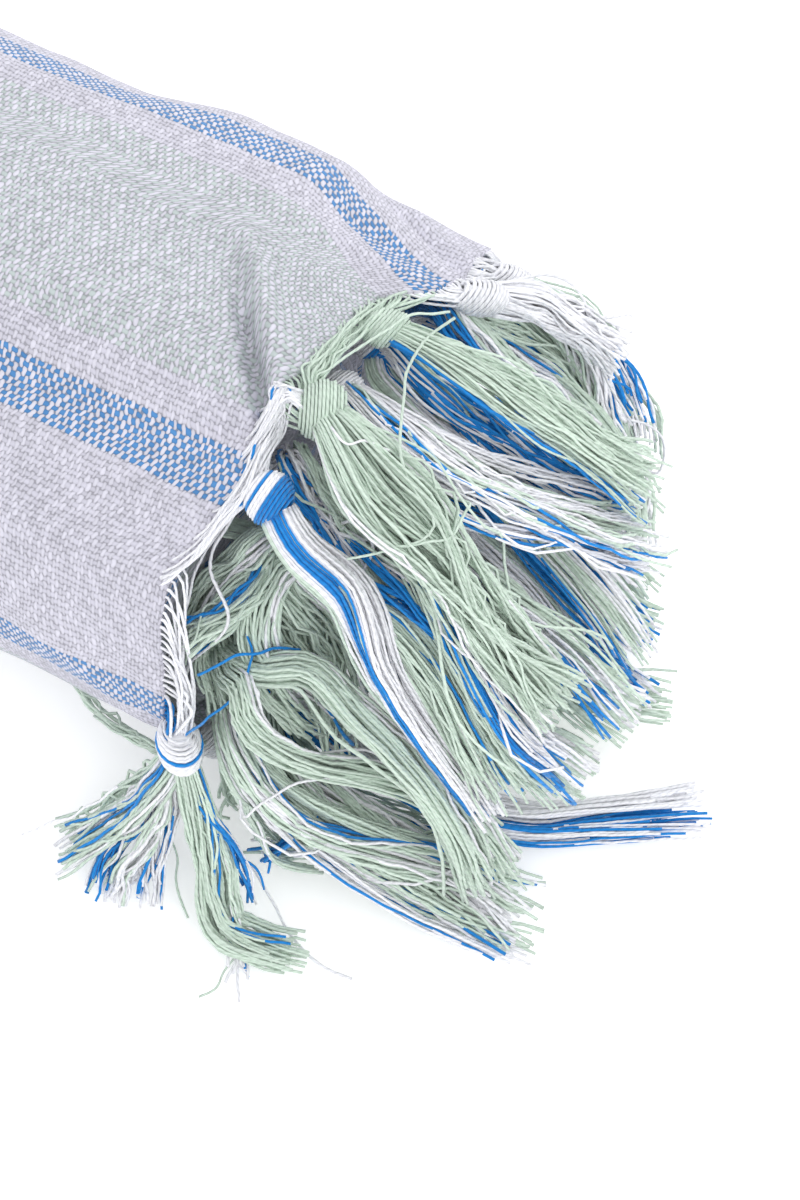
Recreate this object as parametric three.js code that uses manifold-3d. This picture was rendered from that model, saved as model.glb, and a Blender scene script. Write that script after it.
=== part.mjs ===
import * as THREE from 'three';
import Module from 'manifold-3d';
import { mergeVertices } from 'three/addons/utils/BufferGeometryUtils.js';

// A fouta towel, folded in four and rolled up, with its knotted fringe at one end.
// Millimetres, +Z up. The origin is in the middle of the flat strip that the roll rests on,
// and +X runs along the roll towards the fringe.

const rollLength = 460;
const rollHalfWidth = 46.5;
const rollHalfHeight = 43.5;
const rollCentreHeight = 41.5;
const layerThickness = 1.6;
const seamGap = 0.3;

// Angles run round the roll: 0 is the front (-Y), 90 the top, 180 the back, -90 the underside.
const freeSelvedgeAngle = 200;
const selvedgeOverlap = 12;
const tuckedAngle = freeSelvedgeAngle - 360 - selvedgeOverlap;
const tuckBlend = 34;

// Along the roll, x is measured from the mean woven edge at the fringe end.
const fringeEdge = rollLength / 2;
const farRimRadius = 4;
const farRimRoundness = 0.98;
const farRimRow = 1.6;
const coreFringeFace = -6.5;
const coreFarFace = 5.5 - rollLength;
const coreCorner = 3;
const coreCornerRow = 1;
const coreCornerInset = 0.9;
const coreFirstRow = 11;
const coreLastRow = 450;
const coreStepEnd = 3;
const pressedReach = 2.5;
const ribHeight = 2.5;
const ribWidth = 4.4;
const ribPitch = 6.4;
const ribInnerInset = 37;
const ribPointsPerTurn = 14;
const ribStartAngle = freeSelvedgeAngle - 30;
const ribSink = 1;
const fringeRibInset = 5.2;
const farRibInset = 8.5;

const headHalfLength = 3;
const headHalfWidth = 3.4;
const headSides = 7;
const headRings = 4;
const headTurnToRoll = 0.5;
const neckThickness = 1.1;
const neckInset = 0.25;
const neckGap = 0.45;
const neckTaper = 0.18;
const stemHalfSpan = 3.7;
const lockSides = 3;
const lockCornerPhase = 0.25;
const lockRootRadius = 1.0;
const lockTipRadius = 1.25;
const lockSteps = 4;
const lockRootSide = 2;
const lockRootRise = 1.7;
const lockOpening = 1.3;
const floorClearance = 0.9;
const mergeTolerance = 0.04;
const weldDistance = 1e-4;

const radians = Math.PI / 180;
const millimetresPerDegree = rollHalfWidth * radians;
// The roll rests on a flat strip this far to each side of its lowest line.
const restHalfAngle = Math.acos(rollCentreHeight / rollHalfHeight) / radians;

const sage = '#a7b9b3';
const white = '#e4e6ea';
const mixed = '#b9cbe4';

// The woven edge: how far it lies past its mean place, by angle.
const edgeTable = [
  { angle: -172, x: 2 },
  { angle: -138, x: -1 },
  { angle: -90, x: -3 },
  { angle: -45, x: -3.5 },
  { angle: -10, x: -2.2 },
  { angle: 4, x: -2 },
  { angle: 29, x: -4.4 },
  { angle: 45, x: -1 },
  { angle: 56, x: 1.6 },
  { angle: 66, x: 0.6 },
  { angle: 75, x: 0.4 },
  { angle: 84, x: 2.4 },
  { angle: 96, x: 3.6 },
  { angle: 104, x: 5 },
  { angle: 113, x: 11.5 },
  { angle: 122, x: 12.5 },
  { angle: 150, x: 9 },
  { angle: 175, x: 5 },
  { angle: 200, x: 2 },
];

// Creases of the outer layer. Each runs straight from (x0, angle0) to (x1, angle1).
// A positive height is a soft ridge, a negative one a trough.
const foldTable = [
  { x0: -18, angle0: 108, x1: 3, angle1: 79, width: 3.4, height: 2.3 },
  { x0: -11, angle0: 89, x1: 1, angle1: 72, width: 3.2, height: -2.2 },
  { x0: -44, angle0: 105, x1: -20, angle1: 95, width: 8, height: -1.4 },
  { x0: -38, angle0: 81, x1: -12, angle1: 76, width: 7, height: 1.1 },
  { x0: -44, angle0: 146, x1: -16, angle1: 142, width: 15, height: 3 },
  { x0: -14, angle0: 140, x1: 12, angle1: 124, width: 4.4, height: -2.6 },
  { x0: 0, angle0: 150, x1: 14, angle1: 138, width: 9, height: -2.4 },
  { x0: -10, angle0: 50, x1: 1, angle1: 56, width: 3.6, height: 1.4 },
  { x0: -12, angle0: 38, x1: -4, angle1: 34, width: 5, height: -1.4 },
  { x0: -30, angle0: 12, x1: -4, angle1: -8, width: 6, height: 1.2 },
  { x0: -76, angle0: 160, x1: -24, angle1: 170, width: 8, height: -1.8 },
  { x0: -120, angle0: 96, x1: -62, angle1: 112, width: 11, height: -1.6 },
  { x0: -150, angle0: 44, x1: -96, angle1: 30, width: 10, height: -1.4 },
  { x0: -210, angle0: 118, x1: -150, angle1: 82, width: 12, height: 1.8 },
  { x0: -262, angle0: 62, x1: -196, angle1: 88, width: 11, height: -2.2 },
  { x0: -330, angle0: 128, x1: -250, angle1: 140, width: 12, height: -2 },
  { x0: -350, angle0: 30, x1: -290, angle1: 48, width: 12, height: 1.8 },
  { x0: -420, angle0: 84, x1: -340, angle1: 98, width: 12, height: -2 },
  { x0: -452, angle0: 42, x1: -400, angle1: 20, width: 8, height: -1.8 },
  { x0: -455, angle0: 136, x1: -396, angle1: 150, width: 10, height: 1.8 },
  { x0: -200, angle0: 170, x1: -120, angle1: 160, width: 11, height: 1.8 },
  { x0: -300, angle0: 172, x1: -240, angle1: 186, width: 9, height: -1.6 },
  { x0: -240, angle0: -8, x1: -160, angle1: -24, width: 10, height: -1.6 },
  { x0: -390, angle0: -20, x1: -310, angle1: -2, width: 10, height: 1.4 },
];

// Round the roll, the skin is sampled finely over the creased top and plainly elsewhere.
const angleStretches = [
  { from: tuckedAngle, to: -90 - restHalfAngle, step: 10 },
  { from: -90 - restHalfAngle, to: -90 + restHalfAngle, step: 9 },
  { from: -90 + restHalfAngle, to: 28, step: 9 },
  { from: 28, to: 68, step: 6 },
  { from: 68, to: 124, step: 4.6 },
  { from: 124, to: 160, step: 7 },
  { from: 160, to: freeSelvedgeAngle, step: 10 },
];

// Rows of the skin, as distances back from the woven edge.
const skinRows = [
  0, 3, 7, 12, 18, 26, 38, 60, 95, 140, 190, 245, 300, 350, 395, 432,
  rollLength - farRimRadius, rollLength - farRimRow, rollLength,
];

// Fringe tassels whose knots sit on the woven edge of the outer layer.
// The neck of each gathers the warp over `fan` degrees to each side of `angle`. The route is
// the middle line from the knot's centre to the tip, as x from the mean edge, y and z.
// `side` and `rise` are how far the locks stand off that line at the tip, and `head` is how
// many times larger than the plain one the knot is.
const edgeTassels = [
  { angle: -11, fan: 8, side: 3.6, rise: 2, locks: 4, colour: sage,
    route: [[1.6, -47, 33], [8, -52.5, 23], [14, -61, 12.5], [19, -62, 7], [28, -58, 5]],
    branch: [[0.8, -47.4, 32], [-3, -52, 21], [-10, -56, 12], [-17, -61.5, 5]], branchSide: 6.5 },
  { angle: 56, fan: 7, side: 2.6, rise: 2.4, locks: 4, colour: mixed,
    route: [[6, -25.5, 78.3], [21, -29, 66.5], [31, -31.5, 50], [46, -31, 26]] },
  { angle: 75, fan: 6, side: 7, rise: 2.2, locks: 6, head: 1.3, colour: sage,
    route: [[6.8, -11.4, 83.4], [15.6, -16.4, 84], [37, -20, 67], [54, -18.5, 45]] },
  { angle: 98, fan: 6, side: 4.4, rise: 2.4, locks: 5, colour: sage,
    route: [[8.6, 6, 84.2], [20, 5, 85], [35, 8, 76], [48, 13, 63]] },
  { angle: 117, fan: 6, side: 4, rise: 2.6, locks: 5, colour: white,
    route: [[17, 21, 78.6], [24, 26, 75], [34, 31, 64]] },
  { angle: 138, fan: 8, side: 3.4, rise: 3, locks: 5, colour: white,
    route: [[16.5, 34, 69], [29, 35.5, 60], [39, 34.5, 51.5], [47, 31.5, 44]] },
  { angle: 160, fan: 8, side: 3.4, rise: 3.4, locks: 5, colour: sage,
    route: [[12.4, 43, 54.5], [24, 44.5, 49], [37, 42, 39], [48, 38, 28]] },
  { angle: 186, fan: 9, side: 3.6, rise: 3.6, locks: 5, colour: mixed,
    route: [[8, 45.6, 36], [22, 45.5, 29], [38, 42, 18], [50, 38, 10]] },
  { angle: -142, fan: 8, side: 4.6, rise: 1.6, locks: 5, colour: white,
    route: [[2.6, 36.4, 14], [22, 40, 9], [46, 37, 4.8]] },
  { angle: -116, fan: 8, side: 4.6, rise: 1.4, locks: 5, colour: mixed,
    route: [[1.6, 19.5, 5.4], [26, 21, 5], [56, 24, 4.4]] },
  { angle: -90, fan: 9, side: 4.6, rise: 1.4, locks: 5, colour: sage,
    route: [[1, -1, 5.4], [28, -2, 5.2], [62, 9, 4.8]] },
  { angle: -65, fan: 8, side: 4.4, rise: 1.4, locks: 5, colour: mixed,
    route: [[0.8, -20, 5.6], [28, -25, 8], [48, -21, 6.5], [70, -7, 4.8]] },
  { angle: -37, fan: 8, side: 4.2, rise: 2.2, locks: 5, colour: white,
    route: [[0.8, -37, 16.4], [20, -41, 16], [36, -41, 11], [57, -41, 5]] },
];

// Fringe tassels of the hidden layers, whose stems sit on the edges of the roll's turns.
const innerTassels = [
  { side: 4, rise: 2.6, locks: 5, colour: mixed,
    route: [[5, -2, 75.6], [17, -6, 77], [37, -4, 69], [51, 5, 57]] },
  { side: 3.4, rise: 2.4, locks: 5, colour: mixed,
    route: [[5, 10, 72.4], [18, 8.4, 71.5], [32, 9.4, 65], [45, 14.5, 53.5]] },
  { side: 3.4, rise: 3.2, locks: 5, colour: mixed,
    route: [[3, 24, 62], [20, 25, 58], [36, 26, 48], [49, 24, 35.5]] },
  { side: 3.4, rise: 3.4, locks: 5, colour: white,
    route: [[1, 33, 42], [18, 35, 38], [36, 33, 28], [52, 29, 18]] },
  { side: 4, rise: 2.6, locks: 5, colour: sage,
    route: [[0.4, 27, 23], [18, 30, 20], [40, 28, 13], [58, 24.5, 10]] },
  { side: 4, rise: 2.2, locks: 5, colour: white,
    route: [[0.4, 8, 15.5], [20, 9, 14.5], [44, 7, 13], [64, 3, 12]] },
  { side: 4, rise: 2.4, locks: 5, colour: sage,
    route: [[0.4, -13, 16.6], [20, -13, 17], [42, -11, 16.5], [62, -8, 14]] },
  { side: 4, rise: 2.4, locks: 5, colour: sage,
    route: [[0.4, -29, 27], [12, -32, 27.5], [28, -31.5, 21], [48, -25.5, 14]] },
  { side: 3.2, rise: 2.2, locks: 5, colour: sage,
    route: [[0.4, -33, 40], [8, -34, 48], [18, -32.5, 47], [31, -35.5, 33], [48, -37, 15]] },
  { side: 2.6, rise: 2.6, locks: 4, colour: sage,
    route: [[4, -22, 57], [4.8, -28, 57], [3, -34, 55.5], [0, -39.5, 53]] },
  { side: 3.6, rise: 3.2, locks: 5, colour: white,
    route: [[2, 4, 59], [20, 5, 57], [43, 6, 43.5], [61, 3.5, 25]] },
  { side: 3.8, rise: 3, locks: 5, colour: mixed,
    route: [[1, -11, 63], [20, -12, 63], [40, -11, 52], [57, -9, 35]] },
  { side: 3.6, rise: 3, locks: 5, colour: mixed,
    route: [[0.4, -18, 42], [16, -17, 43], [34, -20, 38], [53, -20, 27]] },
  { side: 3.6, rise: 3, locks: 5, colour: sage,
    route: [[0.4, -4, 32], [20, -4, 33], [42, -6, 28.5], [62, -6.5, 21.5]] },
  { side: 3.4, rise: 3, locks: 5, colour: white,
    route: [[0.4, 14, 43], [20, 15.5, 43], [38, 16, 35], [51.5, 14.5, 26]] },
  { side: 3.6, rise: 2.6, locks: 5, colour: mixed,
    route: [[0.4, 11, 28.5], [20, 13, 27], [40, 15, 21], [59, 14, 15.5]] },
];

const wasm = await Module();
wasm.setup();

// A value between the rows of a table, on a smooth step from each row to the next.
function tableValue(table, angle) {
  let row = 0;
  while (row < table.length - 2 && angle > table[row + 1].angle) row += 1;
  const share = (angle - table[row].angle) / (table[row + 1].angle - table[row].angle);
  const eased = THREE.MathUtils.smoothstep(share, 0, 1);
  return THREE.MathUtils.lerp(table[row].x, table[row + 1].x, eased);
}

// Distance on the flat cloth from a point to a crease's line, and the share along it.
function placeOnFold(fold, angle, x) {
  const alongX = fold.x1 - fold.x0;
  const alongArc = (fold.angle1 - fold.angle0) * millimetresPerDegree;
  const fromX = x - fold.x0;
  const fromArc = (angle - fold.angle0) * millimetresPerDegree;
  const lengthSquared = alongX * alongX + alongArc * alongArc;
  const share = (fromX * alongX + fromArc * alongArc) / lengthSquared;
  const distance = (fromX * alongArc - fromArc * alongX) / Math.sqrt(lengthSquared);
  return { share, distance };
}

function foldHeight(angle, x) {
  let height = 0;
  for (const fold of foldTable) {
    const { share, distance } = placeOnFold(fold, angle, x);
    const fadeIn = THREE.MathUtils.smoothstep(share, -0.35, 0.35);
    const fadeOut = 1 - THREE.MathUtils.smoothstep(share, 0.9, 1.35);
    height += fold.height * fadeIn * fadeOut * Math.exp(-((distance / fold.width) ** 2));
  }
  return height;
}

// A point of the roll at an angle and an x, moved in by an inset and out by a lift.
function rollPoint(angle, x, inset, lift) {
  const cosine = Math.cos(angle * radians);
  const sine = Math.sin(angle * radians);
  const ellipse = Math.hypot(rollHalfHeight * cosine, rollHalfWidth * sine);
  const radius = (rollHalfWidth * rollHalfHeight) / ellipse - inset + lift;
  const height = Math.max(rollCentreHeight + radius * sine, inset);
  return new THREE.Vector3(fringeEdge + x, -radius * cosine, height);
}

// How far in the outer layer lies: its tucked side goes under its free selvedge.
function tuckInset(angle) {
  const afterOverlap = angle - (tuckedAngle + selvedgeOverlap);
  const share = THREE.MathUtils.smoothstep(afterOverlap, 0, tuckBlend);
  return (1 - share) * (layerThickness + seamGap);
}

// The far rim turns in on a quarter round.
function rimInset(distanceToEnd) {
  if (distanceToEnd >= farRimRadius) return 0;
  const rest = farRimRadius - distanceToEnd;
  return farRimRadius - Math.sqrt(farRimRadius * farRimRadius - rest * rest * farRimRoundness);
}

function skinAngles() {
  const angles = [tuckedAngle];
  for (const stretch of angleStretches) {
    const count = Math.round((stretch.to - stretch.from) / stretch.step);
    for (let i = 1; i <= count; i += 1) {
      angles.push(stretch.from + ((stretch.to - stretch.from) * i) / count);
    }
  }
  return angles;
}

function geometryFrom(points, faces) {
  const geometry = new THREE.BufferGeometry();
  const positions = points.flatMap((point) => [point.x, point.y, point.z]);
  geometry.setAttribute('position', new THREE.Float32BufferAttribute(positions, 3));
  geometry.setIndex(faces.flat());
  return geometry;
}

// Two triangles between four corners, given anticlockwise from outside.
function quad(a, b, c, d) {
  return [[a, b, c], [a, c, d]];
}

function outerWrap() {
  const angles = skinAngles();
  const columns = angles.length;
  const rows = skinRows.length;
  const points = [];
  for (const side of [0, layerThickness]) {
    for (const back of skinRows) {
      for (const angle of angles) {
        const edge = tableValue(edgeTable, angle) * (1 - back / rollLength);
        const x = edge - back;
        const inset = tuckInset(angle) + rimInset(rollLength - back) + side;
        points.push(rollPoint(angle, x, inset, foldHeight(angle, x)));
      }
    }
  }
  const outer = (row, column) => row * columns + column;
  const inner = (row, column) => (rows + row) * columns + column;
  const faces = [];
  for (let row = 0; row < rows - 1; row += 1) {
    for (let column = 0; column < columns - 1; column += 1) {
      const next = column + 1;
      const below = row + 1;
      faces.push(...quad(
        outer(row, column),
        outer(row, next),
        outer(below, next),
        outer(below, column),
      ));
      faces.push(...quad(
        inner(row, column),
        inner(below, column),
        inner(below, next),
        inner(row, next),
      ));
    }
  }
  const last = rows - 1;
  for (let column = 0; column < columns - 1; column += 1) {
    const next = column + 1;
    faces.push(...quad(outer(0, column), inner(0, column), inner(0, next), outer(0, next)));
    faces.push(...quad(outer(last, column), outer(last, next), inner(last, next), inner(last, column)));
  }
  const end = columns - 1;
  for (let row = 0; row < rows - 1; row += 1) {
    faces.push(...quad(outer(row, 0), outer(row + 1, 0), inner(row + 1, 0), inner(row, 0)));
    faces.push(...quad(outer(row, end), inner(row, end), inner(row + 1, end), outer(row + 1, end)));
  }
  return geometryFrom(points, faces);
}

// The hidden layers lie just inside the outer one. They step in under its tucked side, both
// after its start at the underside and before it comes round again at the back.
function coreInset(angle) {
  const layerStep = layerThickness + seamGap;
  if (angle < -90) return layerStep + tuckInset(angle);
  const tuckedAgain = tuckedAngle + 360;
  const stepDown = THREE.MathUtils.smoothstep(
    angle,
    tuckedAgain - selvedgeOverlap,
    tuckedAgain - coreStepEnd,
  );
  return layerStep + stepDown * layerStep;
}

// Under a ridge the hidden layers stay where they are; a trough presses them in, and a little
// to each side too.
function pressedHeight(angle, x) {
  const turn = pressedReach / millimetresPerDegree;
  const heights = [
    foldHeight(angle, x),
    foldHeight(angle - turn, x),
    foldHeight(angle + turn, x),
    foldHeight(angle, x - pressedReach),
    foldHeight(angle, x + pressedReach),
  ];
  return Math.min(0, ...heights);
}

function hiddenCore() {
  const first = freeSelvedgeAngle - 360;
  const angles = skinAngles().filter((angle) => angle >= first && angle < freeSelvedgeAngle - 1);
  angles.unshift(first);
  const stations = [
    { x: coreFringeFace, round: coreCorner },
    { x: coreFringeFace - coreCornerRow, round: coreCornerInset },
    { x: coreFringeFace - coreCorner, round: 0 },
    ...skinRows
      .filter((back) => back > coreFirstRow && back < coreLastRow)
      .map((back) => ({ x: -back, round: 0 })),
    { x: coreFarFace + coreCorner, round: 0 },
    { x: coreFarFace + coreCornerRow, round: coreCornerInset },
    { x: coreFarFace, round: coreCorner },
  ];
  const columns = angles.length;
  const points = [];
  for (const station of stations) {
    for (const angle of angles) {
      const inset = coreInset(angle) + station.round;
      points.push(rollPoint(angle, station.x, inset, pressedHeight(angle, station.x)));
    }
  }
  const faces = [];
  for (let row = 0; row < stations.length - 1; row += 1) {
    for (let column = 0; column < columns; column += 1) {
      const next = (column + 1) % columns;
      const here = row * columns;
      const below = here + columns;
      faces.push(...quad(here + column, here + next, below + next, below + column));
    }
  }
  const lastRow = (stations.length - 1) * columns;
  points.push(new THREE.Vector3(fringeEdge + coreFringeFace, 0, rollCentreHeight));
  points.push(new THREE.Vector3(fringeEdge + coreFarFace, 0, rollCentreHeight));
  for (let column = 0; column < columns; column += 1) {
    const next = (column + 1) % columns;
    faces.push([points.length - 2, next, column]);
    faces.push([points.length - 1, lastRow + column, lastRow + next]);
  }
  return geometryFrom(points, faces);
}

// A spiral rib: the edges of the folded layers, turn inside turn, on an end of the core.
function layerRib(outerInset, x0, x1) {
  const turnCount = (ribInnerInset - ribWidth - outerInset) / ribPitch;
  const count = Math.round(turnCount * ribPointsPerTurn);
  const edges = [];
  for (const offset of [0, ribWidth]) {
    const side = [];
    for (let i = 0; i <= count; i += 1) {
      const turns = i / ribPointsPerTurn;
      const inset = outerInset + offset + turns * ribPitch;
      const point = rollPoint(ribStartAngle - turns * 360, 0, inset, 0);
      side.push(new THREE.Vector2(point.y, point.z));
    }
    edges.push(side);
  }
  const outline = new THREE.Shape([...edges[0], ...edges[1].reverse()]);
  const rib = new THREE.ExtrudeGeometry(outline, {
    depth: x1 - x0,
    bevelEnabled: false,
  });
  const turned = new THREE.Matrix4().makeBasis(
    new THREE.Vector3(0, 1, 0),
    new THREE.Vector3(0, 0, 1),
    new THREE.Vector3(1, 0, 0),
  );
  rib.applyMatrix4(turned);
  rib.translate(fringeEdge + x0, 0, 0);
  return rib;
}

function solidFrom(geometry) {
  const bare = geometry.clone();
  bare.deleteAttribute('normal');
  bare.deleteAttribute('uv');
  const merged = mergeVertices(bare, weldDistance);
  return new wasm.Manifold(new wasm.Mesh({
    numProp: 3,
    vertProperties: new Float32Array(merged.attributes.position.array),
    triVerts: new Uint32Array(merged.index.array),
  }));
}

function geometryOf(solid) {
  const mesh = solid.getMesh();
  const geometry = new THREE.BufferGeometry();
  geometry.setAttribute('position', new THREE.BufferAttribute(mesh.vertProperties, 3));
  geometry.setIndex(new THREE.BufferAttribute(mesh.triVerts, 1));
  return geometry;
}

// The pieces as one solid. Hollows that they close between them are filled: each is a shell
// of its own with less volume, and only the largest shell is kept.
function joined(geometries) {
  const solids = geometries.map(solidFrom);
  const sum = solids.slice(1).reduce((total, solid) => total.add(solid), solids[0]);
  const shells = sum.asOriginal().simplify(mergeTolerance).decompose();
  return geometryOf(shells.reduce((a, b) => (a.volume() > b.volume() ? a : b)));
}

function rolledCore() {
  const fringeRib = layerRib(fringeRibInset, coreFringeFace - ribSink, coreFringeFace + ribHeight);
  const farRib = layerRib(farRibInset, coreFarFace - ribHeight, coreFarFace + ribSink);
  return joined([hiddenCore(), fringeRib, farRib]);
}

function routeCurve(route) {
  const points = route.map(([x, y, z]) => new THREE.Vector3(fringeEdge + x, y, z));
  return new THREE.CatmullRomCurve3(points, false, 'centripetal');
}

// The level sideways direction and the rise at right angles to a direction.
function frameAcross(direction) {
  const side = new THREE.Vector3(0, 0, 1).cross(direction).normalize();
  const rise = direction.clone().cross(side).normalize();
  return { side, rise };
}

// One lock: a slim tapered prism beside the tassel's middle line.
function lock(curve, turn, side, rise) {
  const rings = [];
  for (let step = 0; step <= lockSteps; step += 1) {
    const share = step / lockSteps;
    const centre = curve.getPointAt(share);
    const across = frameAcross(curve.getTangentAt(share));
    const open = share ** lockOpening;
    const radius = THREE.MathUtils.lerp(lockRootRadius, lockTipRadius, share);
    const sideways = THREE.MathUtils.lerp(lockRootSide, side, open);
    const upwards = THREE.MathUtils.lerp(lockRootRise, rise, open);
    centre.addScaledVector(across.side, sideways * Math.cos(turn));
    centre.addScaledVector(across.rise, upwards * Math.sin(turn));
    centre.z = Math.max(centre.z, radius + floorClearance);
    const ring = [];
    for (let corner = 0; corner < lockSides; corner += 1) {
      const angle = ((corner + lockCornerPhase) / lockSides) * 2 * Math.PI;
      ring.push(centre.clone()
        .addScaledVector(across.side, radius * Math.cos(angle))
        .addScaledVector(across.rise, radius * Math.sin(angle)));
    }
    rings.push(ring);
  }
  const points = rings.flat();
  const faces = [];
  for (let step = 0; step < lockSteps; step += 1) {
    for (let corner = 0; corner < lockSides; corner += 1) {
      const next = (corner + 1) % lockSides;
      const here = step * lockSides;
      const ahead = here + lockSides;
      faces.push(...quad(here + corner, here + next, ahead + next, ahead + corner));
    }
  }
  const end = lockSteps * lockSides;
  for (let corner = 1; corner < lockSides - 1; corner += 1) {
    faces.push([0, corner + 1, corner]);
    faces.push([end, end + corner, end + corner + 1]);
  }
  return geometryFrom(points, faces);
}

function locks(route, count, side, rise) {
  const curve = routeCurve(route);
  return Array.from({ length: count }, (_, index) => {
    const turn = ((index + 0.5) / count) * 2 * Math.PI;
    return lock(curve, turn, side, rise);
  });
}

// A knot's head, rounded and a little longer sideways, `size` times the plain one.
function knotHead(route, size) {
  const curve = routeCurve(route);
  const alongRoll = new THREE.Vector3(1, 0, 0);
  const direction = curve.getTangentAt(0).lerp(alongRoll, headTurnToRoll).normalize();
  const head = new THREE.SphereGeometry(size, headSides, headRings);
  const { side, rise } = frameAcross(direction);
  head.scale(headHalfLength, headHalfWidth, headHalfLength);
  head.applyMatrix4(new THREE.Matrix4().makeBasis(direction, side, rise));
  const centre = curve.getPointAt(0);
  head.translate(centre.x, centre.y, centre.z);
  return head;
}

// A wedge from three places on a seat to the knot: the gathered warp behind the knot.
function wedge(seat, centre, thinWay) {
  const half = thinWay.clone().multiplyScalar(neckThickness / 2);
  const points = [];
  for (const place of seat) {
    points.push(place.clone().add(half), place.clone().sub(half));
  }
  for (let index = 0; index < seat.length; index += 1) {
    const across = seat[index].clone().sub(seat[1]).multiplyScalar(neckTaper);
    const place = centre.clone().add(across);
    points.push(place.clone().add(half), place.clone().sub(half));
  }
  const faces = [];
  const count = seat.length;
  for (let index = 0; index < count - 1; index += 1) {
    const back = 2 * index;
    const front = 2 * (count + index);
    faces.push(...quad(back, back + 2, front + 2, front));
    faces.push(...quad(back + 1, front + 1, front + 3, back + 3));
    faces.push(...quad(back, back + 1, back + 3, back + 2));
    faces.push(...quad(front, front + 2, front + 3, front + 1));
  }
  const lastBack = 2 * (count - 1);
  const lastFront = 2 * (2 * count - 1);
  faces.push(...quad(0, 2 * count, 2 * count + 1, 1));
  faces.push(...quad(lastBack, lastBack + 1, lastFront + 1, lastFront));
  return geometryFrom(points, faces);
}

function edgeNeck(tassel) {
  const inset = neckInset + neckThickness / 2;
  const seat = [1, 0, -1].map((way) => {
    const angle = tassel.angle + way * tassel.fan;
    const edge = tableValue(edgeTable, angle);
    const depth = tuckInset(angle) + inset;
    return rollPoint(angle, edge + neckGap, depth, foldHeight(angle, edge));
  });
  const turned = tassel.angle * radians;
  const outward = new THREE.Vector3(0, -Math.cos(turned), Math.sin(turned));
  return wedge(seat, routeCurve(tassel.route).getPointAt(0), outward);
}

function innerStem(tassel) {
  const centre = routeCurve(tassel.route).getPointAt(0);
  const outward = new THREE.Vector3(0, centre.y, centre.z - rollCentreHeight).normalize();
  const around = new THREE.Vector3(1, 0, 0).cross(outward);
  const ribFace = fringeEdge + coreFringeFace + ribHeight + seamGap;
  const seat = [-1, 0, 1].map((way) => {
    const place = centre.clone().addScaledVector(outward, -way * stemHalfSpan);
    return place.setX(ribFace);
  });
  return wedge(seat, centre, around);
}

function tasselGeometry(tassel, neck) {
  const pieces = [knotHead(tassel.route, tassel.head ?? 1), neck];
  pieces.push(...locks(tassel.route, tassel.locks, tassel.side, tassel.rise));
  if (tassel.branch) {
    pieces.push(...locks(tassel.branch, tassel.locks, tassel.branchSide, tassel.rise));
  }
  return joined(pieces);
}

function addPiece(group, name, geometry, colour) {
  const material = new THREE.MeshStandardMaterial({ color: colour, roughness: 0.9, metalness: 0 });
  const mesh = new THREE.Mesh(geometry, material);
  mesh.name = name;
  group.add(mesh);
}

function fouta() {
  const group = new THREE.Group();
  addPiece(group, 'outer_wrap', outerWrap(), white);
  addPiece(group, 'rolled_core', rolledCore(), white);
  const number = (index) => String(index + 1).padStart(2, '0');
  edgeTassels.forEach((tassel, index) => {
    const geometry = tasselGeometry(tassel, edgeNeck(tassel));
    addPiece(group, `edge_tassel_${number(index)}`, geometry, tassel.colour);
  });
  innerTassels.forEach((tassel, index) => {
    const geometry = tasselGeometry(tassel, innerStem(tassel));
    addPiece(group, `inner_tassel_${number(index)}`, geometry, tassel.colour);
  });
  return group;
}

export default fouta();
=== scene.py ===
# A fouta towel, folded and rolled up, seen at its knotted fringe.
# Tables and sizes are in millimetres, as the maker's are, and turned to metres at the mesh.
# Angles run round the roll: 0 is the front (-Y), 90 the top, 180 the back, -90 the underside.
# Along the roll, x is measured from the mean woven edge at the fringe end.
import math
from functools import partial

import bpy
import numpy as np
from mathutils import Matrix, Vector


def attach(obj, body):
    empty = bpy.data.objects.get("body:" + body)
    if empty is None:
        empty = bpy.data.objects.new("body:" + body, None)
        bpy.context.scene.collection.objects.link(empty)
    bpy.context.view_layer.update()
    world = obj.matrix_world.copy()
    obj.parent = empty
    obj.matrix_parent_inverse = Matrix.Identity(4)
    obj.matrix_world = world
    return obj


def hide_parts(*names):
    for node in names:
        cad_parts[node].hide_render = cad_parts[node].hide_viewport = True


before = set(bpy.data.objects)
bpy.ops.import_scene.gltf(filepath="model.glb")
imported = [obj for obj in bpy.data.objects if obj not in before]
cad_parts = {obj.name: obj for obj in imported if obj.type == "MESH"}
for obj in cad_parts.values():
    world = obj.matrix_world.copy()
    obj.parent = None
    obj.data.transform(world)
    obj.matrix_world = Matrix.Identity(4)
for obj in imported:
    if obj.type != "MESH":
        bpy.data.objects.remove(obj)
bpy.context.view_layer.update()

mm = 0.001

roll = {
    "length": 460, "halfWidth": 46.5, "halfHeight": 43.5, "centreHeight": 41.5,
    "thickness": 1.1, "layerStep": 1.9, "fringeEdge": 230,
    "freeSelvedge": 200, "overlap": 12, "tuckBlend": 34, "farRim": 4,
    "coreFringeFace": -6.5, "coreFarFace": -454.5,
}
tuckedAngle = roll["freeSelvedge"] - 360 - roll["overlap"]
perDegree = roll["halfWidth"] * math.pi / 180

# The woven edge: how far it lies past its mean place, by angle.
edgeTable = {
    "angle": [-172, -138, -90, -45, -10, 4, 29, 45, 56, 66, 75, 84, 96, 104, 113, 122, 150, 175, 200],
    "x": [2, -1, -3, -3.5, -2.2, -2, -4.4, -1, 1.6, 0.6, 0.4, 2.4, 3.6, 5, 11.5, 12.5, 9, 5, 2],
}

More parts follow.
